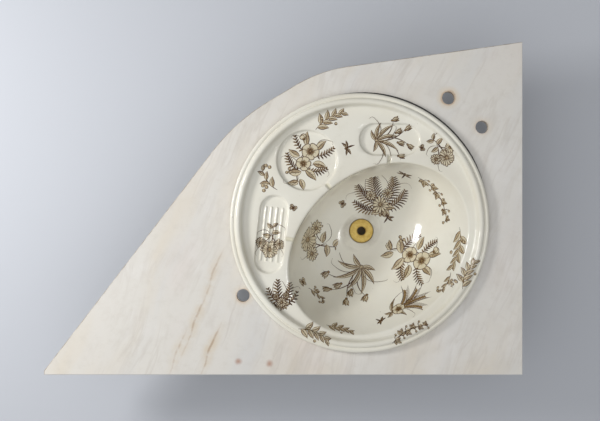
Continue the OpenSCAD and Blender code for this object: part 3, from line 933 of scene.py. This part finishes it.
def cream_glaze():
    m = Finish("cream_glaze", Roughness=0.09, IOR=1.5)
    here = m.coords()
    soft = m.noise(here, 7.0, 3.0)
    cloud = m.noise(here, 26.0, 4.0, 0.6)
    colour = m.mix(srgb(239, 236, 223), srgb(233, 228, 212), soft.ramp(0.35, 0.7))
    colour = m.mix(colour, srgb(212, 207, 188), cloud.ramp(0.52, 0.8) * 0.25)
    pool = m.attribute("pool")
    colour = m.mix(colour, srgb(212, 206, 176), pool.ramp(0.1, 1.0) * 0.55)
    bare = 1.0 - m.attribute("open")
    colour = m.mix(colour, srgb(196, 190, 174), bare * m.noise(here, 18.0, 4.0, 0.6).ramp(0.3, 0.7))
    # kiln dust: a few tiny brown specks under the glaze
    dots = add_node(m.tree, "ShaderNodeTexVoronoi", {"Vector": here, "Scale": 75.0})
    speck = Field(m.tree, dots.outputs["Distance"]).ramp(0.075, 0.03)
    rare = m.noise(here, 31.0, 1.0).ramp(0.6, 0.64)
    colour = m.mix(colour, srgb(120, 96, 70), speck * rare * 0.8)
    # darker brown low on the outside of the rim, and under the outer roll on one side painted black:
    # painted shadow of a gap under the rim, with dirt
    away, toward = dirt_and_shade_place(m, here)
    above = m.axes(here)[2] - marble_top
    ragged = m.noise(here, 90.0, 3.0, 0.6)
    low = above.ramp(6.4 * mm, 4.6 * mm) * away.ramp(rim_r - 2.2 * mm, rim_r - 1.2 * mm)
    colour = m.mix(colour, srgb(120, 108, 88), low * ragged.ramp(0.3, 0.6) * 0.5)
    # painted shadow: the underside of the outer roll is painted near black, the way of the black line on
    # the marble
    under = (above - ragged * (1.6 * mm)).ramp(7.2 * mm, 6.2 * mm)
    black = under * away.ramp(rim_r - 4 * mm, rim_r - 3 * mm) * toward.ramp(0.68, 0.84)
    colour = m.mix(colour, srgb(26, 23, 20), black)
    m.set("Base Color", colour)
    m.set("Roughness", m.noise(here, 60.0, 2.0).ramp(0.3, 0.8) * 0.05 + 0.06 + bare * 0.25)
    ripple = m.noise(here, 85.0, 2.0) + m.noise(here, 11.0, 1.0) * 2.5
    m.bump(ripple, 0.035, 0.5 * mm)
    return m


# ----------------------------------------------------------------------- the brown print


def bow(root, turn, length, bend, step=2.0):
    """Points along a line that bows to its left, from a root and at a heading."""
    t = np.linspace(0, 1, max(2, round(length / step) + 1))[:, None]
    axis = heading(turn)
    return np.array(root) + length * (t * axis + 4 * t * (1 - t) * bend * left_of(axis))


def sideways(points):
    """Unit vectors to the left of a line, one at each point."""
    run = np.gradient(points, axis=0)
    run /= np.linalg.norm(run, axis=1)[:, None]
    return np.c_[-run[:, 1], run[:, 0]]


class Pen:
    """Draws one motif in millimetres about its own centre, growing along +x.

    The motif is kept as ribbons. Each has its points, its half widths, its ink from 0 to 1,
    its strips across, and its height over the glaze. Each wash starts a new layer, a little
    higher, and the strokes after it lie half a layer above it.
    """

    # the height over the glaze before the first layer, and from one layer to the next
    first_height = 0.03
    layer_step = 0.008
    # all strokes are drawn this many times as wide as their width says
    nib = 2.3
    # half the greatest width of a strip of wash
    strip_half = 1.5

    def __init__(self, size, seed):
        self.size = size
        self.random = random.Random(seed)
        self.ribbons = []
        self.layer = 1

    def lay(self, points, half, ink, across, layer):
        height = self.first_height + layer * self.layer_step
        self.ribbons.append((np.array(points) * self.size, half, ink, across, height))

    def stroke(self, points, width, ink=0.9):
        """A line, thinner at its ends."""
        t = np.linspace(0, 1, len(points))
        taper = np.minimum(1, 0.35 + 2.2 * t) * np.minimum(1, 0.2 + 2.2 * (1 - t))
        self.lay(points, self.nib * width / 2 * taper, ink, 1, self.layer + 0.5)

    def wash(self, points, half, ink):
        """A patch of paler tone, wide at some points and narrow at others."""
        self.layer += 1
        half = half * self.size
        self.lay(points, half, ink, max(2, math.ceil(half.max() / self.strip_half)), self.layer)

    def leaf(self, root, turn, length, width, bend=0.08, tone=0.32, hatch=2.9):
        """A leaf with a shaded side, hatched more closely there."""
        spine = bow(root, turn, length, bend)
        t = np.linspace(0, 1, len(spine))
        half = width / 2 * np.sin(math.pi * t ** 0.8) + 0.06
        left = sideways(spine)
        edge = half[:, None] * left
        self.wash(spine, half, tone * 0.4)
        self.wash(spine - edge * 0.55, half * 0.42, 0.34)
        self.stroke(spine + edge, 0.5, 0.7)
        self.stroke(spine - edge, 0.8, 0.95)
        self.stroke(spine, 0.55, 0.85)
        for side, pitch in ((1, hatch * 1.9), (-1, hatch)):
            for share in np.arange(0.14, 0.9, pitch / length / self.size):
                i = share * (len(spine) - 1)
                root_at = np.array([np.interp(i, range(len(spine)), spine[:, k]) for k in (0, 1)])
                reach = np.interp(share, t, half) * (1.1 if side < 0 else 0.85)
                self.stroke(bow(root_at, turn + side * 42, reach, side * 0.06, 3), 0.36, 0.9)

    def petal(self, root, turn, length, width, tone=0.16, lines=7, shade=True):
        """A petal, widest near its tip, with lines that run out from its root."""
        spine = bow(root, turn, length, self.random.uniform(-0.05, 0.05), 1.5)
        t = np.linspace(0, 1, len(spine))
        half = width / 2 * np.interp(t, (0, 0.3, 0.6, 0.8, 0.93, 1), (0.2, 0.66, 0.97, 1, 0.78, 0.4))
        left = sideways(spine)
        self.wash(spine, half, tone * 0.6)
        if shade:
            self.wash(spine[:len(spine) // 2], half[:len(spine) // 2] * 0.55, 0.42)
        one, other = spine + half[:, None] * left, spine - half[:, None] * left
        self.stroke(np.vstack([one, other[::-1]]), 0.6, 0.85)
        for k in range(lines):
            share = (k + 0.5) / lines * 1.7 - 0.85
            reach = max(3, round(len(spine) * self.random.uniform(0.35, 0.7)))
            self.stroke((spine + share * half[:, None] * left)[:reach], 0.4, 0.7)

    def tendril(self, root, turn, length, bend):
        """A fine stalk that curls over at its end."""
        stalk = bow(root, turn, length, bend)
        run = direction(stalk[-2], stalk[-1])
        side = 1 if bend < 0 else -1
        curl = bow(stalk[-1], run + side * 40, length * 0.3, -side * 0.3)
        self.stroke(np.vstack([stalk, curl[1:]]), 0.45, 0.8)

    def berry(self, centre, radius, tone=0.35):
        x = np.linspace(-1, 1, 7)
        centre = np.array(centre)
        self.wash(centre + radius * np.c_[x, 0 * x], radius * np.sqrt(1.001 - x * x), tone * 0.8)
        self.stroke(arc(centre, radius, 0, 350, 12), 0.55, 0.95)
        self.stroke(arc(centre, radius * 0.55, 200, 330, 4), 0.5, 0.8)

    def rose(self, centre, radius):
        first = self.random.uniform(0, 72)
        for k in range(5):
            turn = first + 72 * k + self.random.uniform(-6, 6)
            root = np.array(centre) + radius * 0.12 * heading(turn)
            self.petal(root, turn, radius * 0.9, radius * 1.05)
        for k in range(16):
            turn = 22.5 * k + self.random.uniform(-8, 8)
            tip = radius * self.random.uniform(0.28, 0.42)
            self.stroke(bow(centre, turn, tip, 0.05, 3), 0.45, 0.95)
        self.berry(centre, radius * 0.15, 0.7)

    def daisy(self, centre, radius, count=13):
        first = self.random.uniform(0, 30)
        for k in range(count):
            turn = first + 360 / count * k + self.random.uniform(-5, 5)
            length = radius * self.random.uniform(0.85, 1.1)
            self.petal(centre, turn, length, radius * 0.3, lines=2, shade=False)
        self.berry(centre, radius * 0.22, 0.6)

    def bell(self, root, turn, length):
        for swing in (-20, 20, 0):
            self.leaf(root, turn + swing, length, length * 0.42, swing * -0.004, 0.22, hatch=1.8)
        self.berry(root, length * 0.13, 0.7)

    def frond(self, root, turn, length, bend):
        """A fern's leaf, with blades on both sides of its stalk."""
        spine = bow(root, turn, length, bend, 5.4 / self.size)
        self.stroke(spine, 0.8)
        count = len(spine)
        for i in range(1, count):
            share = i / count
            reach = length * 0.27 * math.sin(math.pi * (0.14 + 0.8 * share)) ** 0.8
            run = direction(spine[i - 1], spine[i])
            for side in (-1, 1):
                blade = bow(spine[i], run + side * (64 - 26 * share), reach, -side * 0.1, reach / 3)
                self.stroke(blade, 1.3, 0.95 if side < 0 else 0.7)

    def ear(self, root, turn, length, bend):
        """An ear of barley."""
        spine = bow(root, turn, length, bend, 1.6)
        self.stroke(spine, 0.6)
        for i in range(len(spine) // 3, len(spine)):
            run = direction(spine[i - 1], spine[i])
            side = 1 if i % 2 else -1
            self.stroke(bow(spine[i], run + side * 24, 5.5, -side * 0.1, 1.6), 1.5, 0.6)
            self.stroke(bow(spine[i], run + side * 22, 17, side * 0.08, 4), 0.42, 0.85)

    def twig(self, root, turn, length, bend, leaves, leaf_l):
        spine = bow(root, turn, length, bend)
        self.stroke(spine, 1.0)
        for k in range(leaves):
            share = (k + 0.8) / leaves
            i = min(len(spine) - 1, round(share * (len(spine) - 1)))
            run = direction(spine[i - 1], spine[i])
            side = 1 if k % 2 else -1
            size = leaf_l * (1.1 - 0.4 * share)
            self.leaf(spine[i], run + side * (56 - 30 * share), size, size * 0.42, -side * 0.08)

    def trefoil(self, root, turn, length):
        """A leaf of ivy."""
        for swing, share in ((-52, 0.75), (52, 0.75), (0, 1)):
            self.leaf(root, turn + swing, length * share, length * 0.44, swing * -0.001, 0.4, hatch=1.3)

    def dragonfly(self, centre, turn, span):
        ahead = heading(turn)
        for lean in (62, 100):
            for side in (-1, 1):
                self.leaf(centre, turn + side * lean, span / 2, span * 0.12, side * 0.04, 0.12, hatch=1.4)
        self.stroke(bow(centre + ahead * span * 0.1, turn + 180, span * 0.62, 0.05, 1.5), 1.5, 0.95)
        self.berry(centre + ahead * span * 0.12, span * 0.06, 0.8)

    def moth(self, centre, turn, span):
        for lean, share in ((55, 1.0), (118, 0.75)):
            for side in (-1, 1):
                self.petal(centre, turn + side * lean, span * 0.5 * share, span * 0.36, 0.3, 6)
                spot = centre + heading(turn + side * lean) * span * 0.33 * share
                self.berry(spot, span * 0.045, 0.8)
        head = centre + heading(turn) * span * 0.2
        self.stroke(bow(head, turn + 180, span * 0.42, 0, 1.5), 2.2, 0.95)
        for side in (-1, 1):
            self.stroke(bow(head, turn + side * 22, span * 0.2, 0.1), 0.4)


def rose_spray(p):
    p.stroke(bow((-42, -8), 16, 62, 0.12), 1.2)
    for root, turn, length, bend in (
            ((-20, 0), 68, 36, 0.14), ((-12, -4), -62, 36, -0.14), ((12, 10), 62, 30, 0.1),
            ((14, -8), -38, 34, -0.1)):
        p.frond(root, turn, length, bend)
    for root, turn, length, width in (
            ((-36, -6), 128, 20, 9), ((-32, -6), -132, 20, 9), ((-20, -2), 118, 24, 11),
            ((-14, -6), -104, 26, 11), ((2, -12), -76, 24, 11), ((2, 14), 88, 22, 10),
            ((24, 12), 28, 24, 10), ((24, -6), -16, 24, 10)):
        p.leaf(root, turn, length, width)
    for root, turn, length, bend in (
            ((-28, -2), 150, 26, 0.3), ((-8, -8), -70, 34, 0.25), ((20, 14), 70, 26, -0.25),
            ((26, -4), -30, 28, 0.3), ((-14, 6), 84, 30, -0.2)):
        p.tendril(root, turn, length, bend)
    p.petal((30, 20), 48, 11, 9)
    p.petal((30, 20), 74, 10, 8)
    p.rose((18, 2), 14)
    p.rose((-6, 2), 12)
    for spot in ((-30, 14), (-26, 18), (-33, 19)):
        p.berry(spot, 2.3)


def fern_spray(p):
    for turn, length, bend in (
            (-62, 46, -0.16), (-30, 56, -0.1), (2, 62, 0.08), (34, 54, 0.12), (66, 44, 0.18)):
        p.frond((-28, 0), turn, length, bend)
    for turn, length in ((150, 17), (-150, 17), (100, 20), (-100, 20), (180, 14)):
        p.leaf((-28, 0), turn, length, length * 0.42)
    for turn, bend in ((-50, 0.2), (-14, -0.2), (18, 0.2), (52, -0.2)):
        p.tendril((-24, 0), turn, 52, bend)
    p.daisy((-22, 2), 13)
    p.daisy((-6, -13), 9, 11)
    p.daisy((-4, 14), 9, 11)


def bell_spray(p):
    for turn, length, bend in ((-44, 64, 0.22), (-14, 70, 0.16), (18, 68, -0.14), (48, 58, -0.2)):
        p.stroke(bow((-34, 0), turn, length, bend), 0.9)
    for turn, length in ((-66, 40), (-30, 50), (6, 46), (36, 50), (70, 38), (110, 24), (-110, 24)):
        p.leaf((-34, 0), turn, length, 6.5, 0.1)
    for root, turn in (
            ((8, -36), -8), ((30, -14), -42), ((28, 16), 32), ((2, 38), 14), ((10, -8), -18),
            ((8, 12), 22)):
        p.bell(root, turn, 15)
    for turn, bend in ((-86, 0.25), (-52, 0.2), (22, -0.2), (88, -0.25)):
        p.tendril((-34, 0), turn, 44, bend)
    p.berry((-34, 0), 3)


def daisy_spray(p):
    p.stroke(bow((-34, 4), -6, 52, 0.08), 1.0)
    p.stroke(bow((-20, 2), 38, 28, -0.1), 0.8)
    p.stroke(bow((-16, 2), -44, 26, 0.1), 0.8)
    for root, turn, length in (
            ((-32, 4), 134, 14), ((-30, 4), -126, 16), ((-20, 3), 96, 18), ((-14, 2), -96, 18),
            ((-2, 1), 60, 15), ((0, 0), -58, 15)):
        p.leaf(root, turn, length, length * 0.44)
    for root, turn, length, bend in (
            ((-30, 3), 100, 24, 0.25), ((-16, 2), -100, 26, -0.25), ((6, 2), 66, 30, 0.2),
            ((6, 0), -60, 30, -0.2)):
        p.tendril(root, turn, length, bend)
    p.daisy((14, 1), 17, 17)
    p.daisy((2, 20), 11)
    p.daisy((2, -18), 11)


def barley_spray(p):
    for turn, length, bend in ((-28, 52, 0.14), (-8, 60, 0.08), (14, 56, -0.1), (36, 46, -0.16)):
        p.ear((-30, 0), turn, length, bend)
    for turn, length in ((-52, 30), (58, 30), (160, 14), (-150, 14)):
        p.leaf((-30, 0), turn, length, 5, 0.14)
    for turn, bend in ((-40, 0.2), (24, -0.2), (48, 0.2)):
        p.tendril((-30, 0), turn, 40, bend)
    p.rose((-18, 0), 11)


def ivy_run(p):
    spine = bow((-34, -4), 4, 68, 0.1)
    p.stroke(spine, 1.0)
    for k, i in enumerate((4, 10, 16, 22, 28, 33)):
        side = 1 if k % 2 else -1
        p.trefoil(spine[i], side * 52, 13 - k)
        p.stroke(bow(spine[i], -side * 60, 8, 0.2), 0.6)
        p.berry(spine[i] + 8 * heading(-side * 60), 1.7)


def leafy_twig(p):
    p.twig((-26, 0), 0, 46, 0.1, 9, 16)
    p.berry((-10, 9), 2)
    p.berry((4, -8), 2)


def berry_twig(p):
    p.twig((-18, -2), 6, 32, 0.12, 5, 13)
    for spot in ((-8, 8), (-4, 11), (-10, 13), (12, -8), (16, -5)):
        p.berry(spot, 2.1)


def dragonfly(p):
    p.dragonfly(np.zeros(2), 0, 26)


def moth(p):
    p.moth(np.zeros(2), 0, 20)


# How much higher a motif is laid over rolls, ribs or coves, in millimetres.
uneven_rise = 0.05

# Each motif: its drawing, its place in the basin in millimetres, the heading it grows to,
# and its scale. One that lies over rolls, ribs or coves also has the longest step of its
# lines.
bowl_prints = [
    (fern_spray, (20, -76), 330, 1.3),
    (rose_spray, (-127, -40), 200, 1.35),
    (bell_spray, (-83, 92), 105, 1.25),
    (daisy_spray, (28, 90), 40, 1.4),
    (ivy_run, (-60, -154), 170, 1.5),
    (leafy_twig, (-165, -114), 135, 1.7),
    (barley_spray, (-186, 29), 260, 1.15),
    (leafy_twig, (-137, 164), 210, 1.1),
    (moth, (-21, 162), 350, 1.2),
    (dragonfly, (-32, -56), 290, 1.1),
    (moth, (48, -3), 80, 0.9),
    (dragonfly, (-177, 91), 190, 0.9),
    (berry_twig, (-200, -54), 110, 1.3),
    (berry_twig, (-58, 158), 185, 1.2),
    (dragonfly, (14, -134), 300, 1.25),
]
shelf_prints = [
    (rose_spray, (160, 2), 290, 1.15, 1.2),
    (daisy_spray, (84, 160), 134, 0.95, 0.6),
    (bell_spray, (84, -156), 235, 0.95, 1.2),
    (leafy_twig, (190, -86), 262, 1.35),
    (dragonfly, (128, -76), 70, 1.15),
    (berry_twig, (181, 80), 350, 1.55),
    (moth, (106, 81), 290, 0.8),
    (fern_spray, (-8, 208), 330, 0.74, 0.9),
    (daisy_spray, (1, -212), 180, 0.95),
    (moth, (34, -188), 250, 0.7),
]
rim_prints = [
    (leafy_twig, (-214, -100), 295, 1.25, 0.8),
    (ivy_run, (-227, 65), 254, 1.1, 0.8),
    (leafy_twig, (-111, 209), 208, 1.3, 0.8),
]


# Under its middle line a ribbon reaches this far into the glaze, so that it is closed.
ribbon_root = -0.3 * mm


def finer(points, half, step):
    """The same line and widths, with no points farther apart than a step."""
    run = np.r_[0, np.cumsum(np.linalg.norm(np.diff(points, axis=0), axis=1))]
    stops = np.linspace(0, run[-1], max(len(points), math.ceil(run[-1] / step) + 1))
    line = np.stack([np.interp(stops, run, points[:, k]) for k in (0, 1)], axis=1)
    return line, np.interp(stops, run, half)


def ribbon_rows(points, half, across):
    """Across the line at each point: places from its left edge to its right, then the line's."""
    left = sideways(points)
    shares = np.linspace(1, -1, across + 1)
    tops = [points + (half * share)[:, None] * left for share in shares]
    return np.stack(tops + [points], axis=1)


def motif_place(place, turn, lift, upright):
    """Where a motif is held over the glaze, its two axes, and the way that it faces."""
    above = basin_place @ Vector((place[0] * mm, place[1] * mm, 60 * mm))
    _, spot, normal, _ = basin.ray_cast(above, (0, 0, -1))
    normal = Vector((0, 0, 1)) if upright else normal
    ahead = basin_place.to_3x3() @ Vector((*heading(turn), 0))
    ahead = (ahead - normal * ahead.dot(normal)).normalized()
    return np.array(spot + normal * lift), np.array([ahead, normal.cross(ahead)]) * mm, normal


def ribbon_faces(first, rows, wide):
    """The faces of one closed ribbon, whose vertices start at a number."""
    last = first + (rows - 1) * wide
    sides = [
        (a + k, a + (k + 1) % wide, a + wide + (k + 1) % wide, a + wide + k)
        for a in range(first, last, wide) for k in range(wide)]
    ends = [tuple(range(first + wide - 1, first - 1, -1)), tuple(range(last, last + wide))]
    return sides + ends


def print_sheet(name, placed, lift, upright):
    """Motifs held over the glaze, each with the direction in which it is laid."""
    verts, faces, aims, sits, inks = [], [], [], [], []
    count = 0
    for number, (draw, place, turn, size, *step) in enumerate(placed):
        pen = Pen(size, number)
        draw(pen)
        origin, axes, normal = motif_place(place, turn, lift, upright)
        for points, half, ink, across, height in pen.ribbons:
            if step:
                points, half = finer(points, half, step[0])
                across = max(across, math.ceil(2 * half.max() / step[0]))
                height += uneven_rise
            rows = ribbon_rows(points, half, across)
            n, wide = rows.shape[:2]
            verts.append(rows.reshape(-1, 2) @ axes + origin)
            faces += ribbon_faces(count, n, wide)
            row_sits = np.full((n, wide), height * mm)
            row_sits[:, -1] = ribbon_root
            sits.append(row_sits.ravel())
            inks.append(np.full(n * wide, ink))
            aims.append(np.tile(-np.array(normal), (n * wide, 1)))
            count += n * wide
    return new_mesh(
        name, np.vstack(verts), faces,
        aim=np.vstack(aims), sit=np.concatenate(sits), ink=np.concatenate(inks))


def lay_print(target, material):
    """The tree that lays flat motifs on the glaze along their aim."""
    w = Works("lay_print")
    glazed = w.size("Glazed basin", target, "NodeSocketObject")
    reach = w.size("Greatest distance to the glaze", 0.12)
    shape = add_node(w.tree, "GeometryNodeObjectInfo", {"Object": glazed}, transform_space="RELATIVE")
    cast = add_node(
        w.tree, "GeometryNodeRaycast",
        {"Target Geometry": shape.outputs["Geometry"], "Ray Direction": w.attribute("aim", "FLOAT_VECTOR"),
         "Ray Length": reach})
    off = add_node(
        w.tree, "ShaderNodeVectorMath",
        {0: cast.outputs["Hit Normal"], "Scale": w.attribute("sit")}, operation="SCALE")
    laid = add_node(
        w.tree, "ShaderNodeVectorMath", {0: cast.outputs["Hit Position"], 1: off.outputs[0]},
        operation="ADD")
    moved = add_node(
        w.tree, "GeometryNodeSetPosition",
        {"Geometry": w.source.outputs[0], "Selection": cast.outputs["Is Hit"], "Position": laid.outputs[0]})
    w.finish(moved.outputs[0], material)
    return w


engraving_pitch = 0.7 * mm


def brown_print():
    m = Finish("brown_print", Roughness=0.12, IOR=1.5)
    here = m.coords()
    x, y, _ = m.axes(here)
    ink = m.attribute("ink")
    # the paler tones are engraved, in fine parallel lines
    lines = ((x * 0.8 + y * 0.6) * (2 * math.pi / engraving_pitch)).math("SINE") * 0.5 + 0.5
    engraved = ink * (lines * 1.1 + 0.45)
    solid = ink.ramp(0.5, 0.6)
    tone = engraved * (1.0 - solid) + ink * solid
    worn = m.noise(here, 700.0, 2.0, 0.6).ramp(0.25, 0.6) * 0.3 + 0.7
    tone = (tone * worn).clamped()
    colour = m.mix(srgb(220, 210, 182), srgb(169, 138, 86), tone.ramp(0.0, 0.5))
    colour = m.mix(colour, srgb(72, 41, 11), tone.ramp(0.3, 0.85))
    m.set("Base Color", colour)
    return m


# ------------------------------------------------------------------- putty, brass, washers


def squeezed_putty():
    """The ring of putty under the rim, with the uneven edge that it was squeezed out to."""
    columns = 720
    around = np.linspace(0, 2 * math.pi, columns, endpoint=False)
    chance = random.Random(5)
    wave = np.zeros(columns)
    for count in (7, 11, 19, 31, 47, 73, 101):
        wave += chance.uniform(0.4, 1) * np.sin(count * around + chance.uniform(0, 6)) / count ** 0.4
    inset = (wave.max() - wave) / np.ptp(wave)
    # each row's radius, its height, and how many mm it stays back where the least came out
    rows = []
    for radius, z, give in (
            (putty_inner_r, 0, 0), (putty_outer_r - 0.4 * mm, 0, 1.6), (putty_outer_r, 0.5 * mm, 1.9),
            (putty_outer_r - 0.2 * mm, 1.1 * mm, 2.1), (putty_outer_r - 0.7 * mm, bedding_t, 1.8),
            (putty_inner_r, bedding_t, 0)):
        rows.append(ring(radius - give * mm * inset, z, around))
    verts = np.vstack(rows) + np.array(basin_c)
    mesh = new_mesh("squeezed_putty", verts, tube_faces(len(rows), columns))
    outward(mesh)
    return added("squeezed_putty", mesh)


def waste_section():
    """Radius and height of the turned waste, and where its tail is threaded, in millimetres."""
    top = flange_hi.z / mm
    seat = top - flange_t
    foot = flange_lo.z / mm
    spigot_top = nut_underside / mm - thread_past_nut
    thread_rows = np.arange(seat - 0.4, spigot_top + 0.4, -0.25)
    section = [
        (drain_r, top - 0.9, 0), (drain_r + 0.35, top - 0.3, 0), (drain_r + 0.9, top, 0),
        (flange_r * 0.62, top, 0), (flange_r * 0.8, top - 0.35, 0), (flange_r - 1.2, seat + 2.1, 0),
        (flange_r - 0.5, seat + 1.8, 0), (flange_r - 0.1, seat + 1.2, 0), (flange_r, seat + 0.7, 0),
        (flange_r, seat + 0.2, 0), (flange_r - 0.2, seat, 0), (tail_r, seat, 0)]
    section += [(tail_r, z, 1) for z in thread_rows]
    section += [
        (tail_r, spigot_top, 0), (tail_r - spigot_cut, spigot_top - spigot_cut, 0),
        (tail_r - spigot_cut, foot + 0.5, 0), (tail_r - spigot_cut - 0.5, foot, 0),
        (tail_bore_r + 0.4, foot, 0), (tail_bore_r, foot + 0.4, 0),
        (tail_bore_r, top - plate_t, 0), (drain_r, top - plate_t, 0)]
    return np.array(section)


def cut_thread(material):
    """The tree that cuts the thread of the tail as one helix."""
    w = Works("cut_thread")
    x, y, z = w.position()
    pitch = w.size("Pitch of the thread", thread_pitch)
    deep = w.size("Depth of the thread", thread_depth)
    radius = (x * x + y * y).root()
    turn = y.math("ARCTAN2", x) / (2 * math.pi)
    share = (z / pitch + turn).math("FRACT")
    valley = (abs(share - 0.5) * 2.9 - 0.7).clamped()
    give = w.attribute("thread") * valley * deep / radius
    inward = add_node(
        w.tree, "ShaderNodeCombineXYZ", {"X": -(x * give), "Y": -(y * give)})
    moved = add_node(
        w.tree, "GeometryNodeSetPosition",
        {"Geometry": w.source.outputs[0], "Offset": inward.outputs[0]})
    w.finish(moved.outputs[0], material)
    return w


def turned_waste(material):
    """The flange and its tail, turned in one piece, with the tail's thread cut."""
    columns = 128
    around = np.linspace(0, 2 * math.pi, columns, endpoint=False)
    section = waste_section()
    verts = np.vstack([ring(r, z, around) * mm for r, z, _ in section])
    mesh = new_mesh(
        "turned_waste_blank", verts, tube_faces(len(section), columns),
        thread=np.repeat(section[:, 2], columns))
    made = cut_thread(material).applied("turned_waste", mesh)
    made.data.transform(Matrix.Translation((waste_c.x, waste_c.y, 0)))
    outward(made.data)
    return made


def worn_brass():
    m = Finish("worn_brass", Metallic=1.0, Roughness=0.4)
    here = m.coords(shift=waste_c)
    x, y, _ = m.axes(here)
    away = (x * x + y * y).root()
    patina = m.noise(here, 140.0, 4.0, 0.6)
    colour = m.mix(srgb(222, 194, 116), srgb(206, 175, 97), patina.ramp(0.35, 0.7))
    # the flange darker at its rounded edge, and tarnish round its hole
    rim = away.ramp(21.5 * mm, 24.6 * mm)
    colour = m.mix(colour, srgb(140, 112, 62), rim * 0.7)
    hole = away.ramp(11.5 * mm, 8.6 * mm)
    colour = m.mix(colour, srgb(110, 84, 44), hole * 0.6)
    m.set("Base Color", colour)
    m.set("Roughness", patina.ramp(0.3, 0.7) * 0.12 + 0.46)
    turning_marks = (away * 5200.0).math("SINE") * 0.3 + patina * 0.5
    m.bump(turning_marks, 0.2, 0.12 * mm)
    return m


def pressed_leather():
    m = Finish("pressed_leather", Roughness=0.75)
    here = m.coords()
    grain = m.noise(here, 420.0, 4.0, 0.6)
    colour = m.mix(srgb(92, 62, 40), srgb(58, 38, 26), grain.ramp(0.35, 0.65))
    m.set("Base Color", colour)
    m.bump(grain, 0.5, 0.3 * mm)
    return m


def set_putty():
    m = Finish("set_putty", Roughness=0.8)
    here = m.coords()
    grain = m.noise(here, 220.0, 4.0, 0.6)
    colour = m.mix(srgb(206, 200, 184), srgb(176, 166, 146), grain.ramp(0.35, 0.7))
    _, toward = dirt_and_shade_place(m, here)
    # dirt and painted gap shade: the putty is painted near black on the side of the black line at the rim's
    # foot
    colour = m.mix(colour, srgb(30, 27, 24), toward.ramp(0.6, 0.84))
    m.set("Base Color", colour)
    m.bump(grain, 0.4, 0.3 * mm)
    return m


# ---------------------------------------------------------------------------- assembling

marble = honed_marble()
glaze = cream_glaze()
brass = worn_brass()
leather = pressed_leather()
putty = set_putty()

paint(frame["nodes"]["marble_slab"], marble)

basin = press_trays(glaze.material).applied("glazed_basin", basin_blank())
basin.data.transform(basin_place)
outward(basin.data)
smooth(basin, 55)
paint(basin, glaze)
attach(basin, "root")
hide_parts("basin")

ink = brown_print()
for name, placed, lift, upright in (
        ("bowl_print", bowl_prints, 15 * mm, False), ("shelf_print", shelf_prints, 10 * mm, True),
        ("rim_print", rim_prints, 22 * mm, True)):
    sheet = print_sheet(name + "_flat", placed, lift, upright)
    laid = lay_print(basin, ink.material).applied(name, sheet)
    paint(laid, ink)
    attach(laid, "root")

bed = squeezed_putty()
smooth(bed, 40)
paint(bed, putty)
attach(bed, "root")
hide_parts("rim_bedding")

waste = turned_waste(brass.material)
smooth(waste, 30)
paint(waste, brass)
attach(waste, "root")
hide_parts("waste_flange")

for node in ("waste_slip_washer", "waste_backnut"):
    paint(frame["nodes"][node], brass)
for node in ("waste_upper_washer", "waste_lower_washer"):
    paint(frame["nodes"][node], leather)

# ------------------------------------------------------------------------------- setting

# The camera looks straight down on the slab. The photograph is 600 pixels wide, and its
# middle lies over this point of the marble.
view_c = Vector((0.4365, -0.3222, marble_top))
view_width = 1.1766
camera_height = 2.5

camera_data = bpy.data.cameras.new("camera")
camera_data.lens = camera_data.sensor_width / view_width * camera_height
camera = added("camera", camera_data)
camera.location = view_c + Vector((0, 0, camera_height))
camera.rotation_euler = (0, 0, math.pi)
bpy.context.scene.camera = camera


def softbox(name, azimuth, elevation, distance, width, height, power):
    """A soft lamp aimed at the bowl. Azimuth 0 is to the right of the picture and 90 is up."""
    toward = Vector((
        -math.cos(math.radians(azimuth)) * math.cos(math.radians(elevation)),
        -math.sin(math.radians(azimuth)) * math.cos(math.radians(elevation)),
        math.sin(math.radians(elevation))))
    data = bpy.data.lights.new(name, "AREA")
    data.shape = "RECTANGLE"
    data.size, data.size_y = width, height
    data.energy = power
    lamp = added(name, data)
    lamp.location = basin_c + toward * distance
    lamp.rotation_mode = "QUATERNION"
    lamp.rotation_quaternion = (-toward).to_track_quat("-Z", "Y")


softbox("left_softbox", azimuth=167, elevation=28, distance=1.6, width=0.5, height=0.3, power=13)
softbox("right_softbox", azimuth=-10, elevation=80, distance=6.0, width=0.26, height=0.28, power=4)

world = bpy.data.worlds.new("studio")
world.use_nodes = True
world_tree = world.node_tree
world_tree.nodes["Background"].inputs["Color"].default_value = (0.97, 0.98, 1.0, 1)
along, across, height = parts(
    world_tree, add_node(world_tree, "ShaderNodeTexCoord").outputs["Generated"])
# brightest overhead and toward the long wall, and dim lower down; the camera and what
# glossy and clear surfaces show have an even pale backdrop instead
strength = height.ramp(0.2, 0.8) * (along * 0.12 + across * 0.55 + 0.72) + 0.02
light_path = add_node(world_tree, "ShaderNodeLightPath").outputs
seen = Field(world_tree, light_path["Is Camera Ray"])
for ray in ("Is Glossy Ray", "Is Transmission Ray"):
    seen = seen.at_least(light_path[ray])
backdrop = 0.74
feed(world_tree, world_tree.nodes["Background"].inputs["Strength"],
     strength * (1.0 - seen) + seen * backdrop)
bpy.context.scene.world = world
bpy.context.scene.view_settings.view_transform = "Standard"

# The floor touches the end of the waste's tail.
floor_half = 30.0
corners = np.array([
    (floor_half * i, floor_half * j, cad_box[0].z) for i, j in ((-1, -1), (1, -1), (1, 1), (-1, 1))])
floor = added("floor", new_mesh("floor", corners, [(0, 1, 2, 3)]))
ground = Finish("pale_floor", Roughness=0.9)
ground.set("Base Color", srgb(200, 203, 209))
paint(floor, ground)
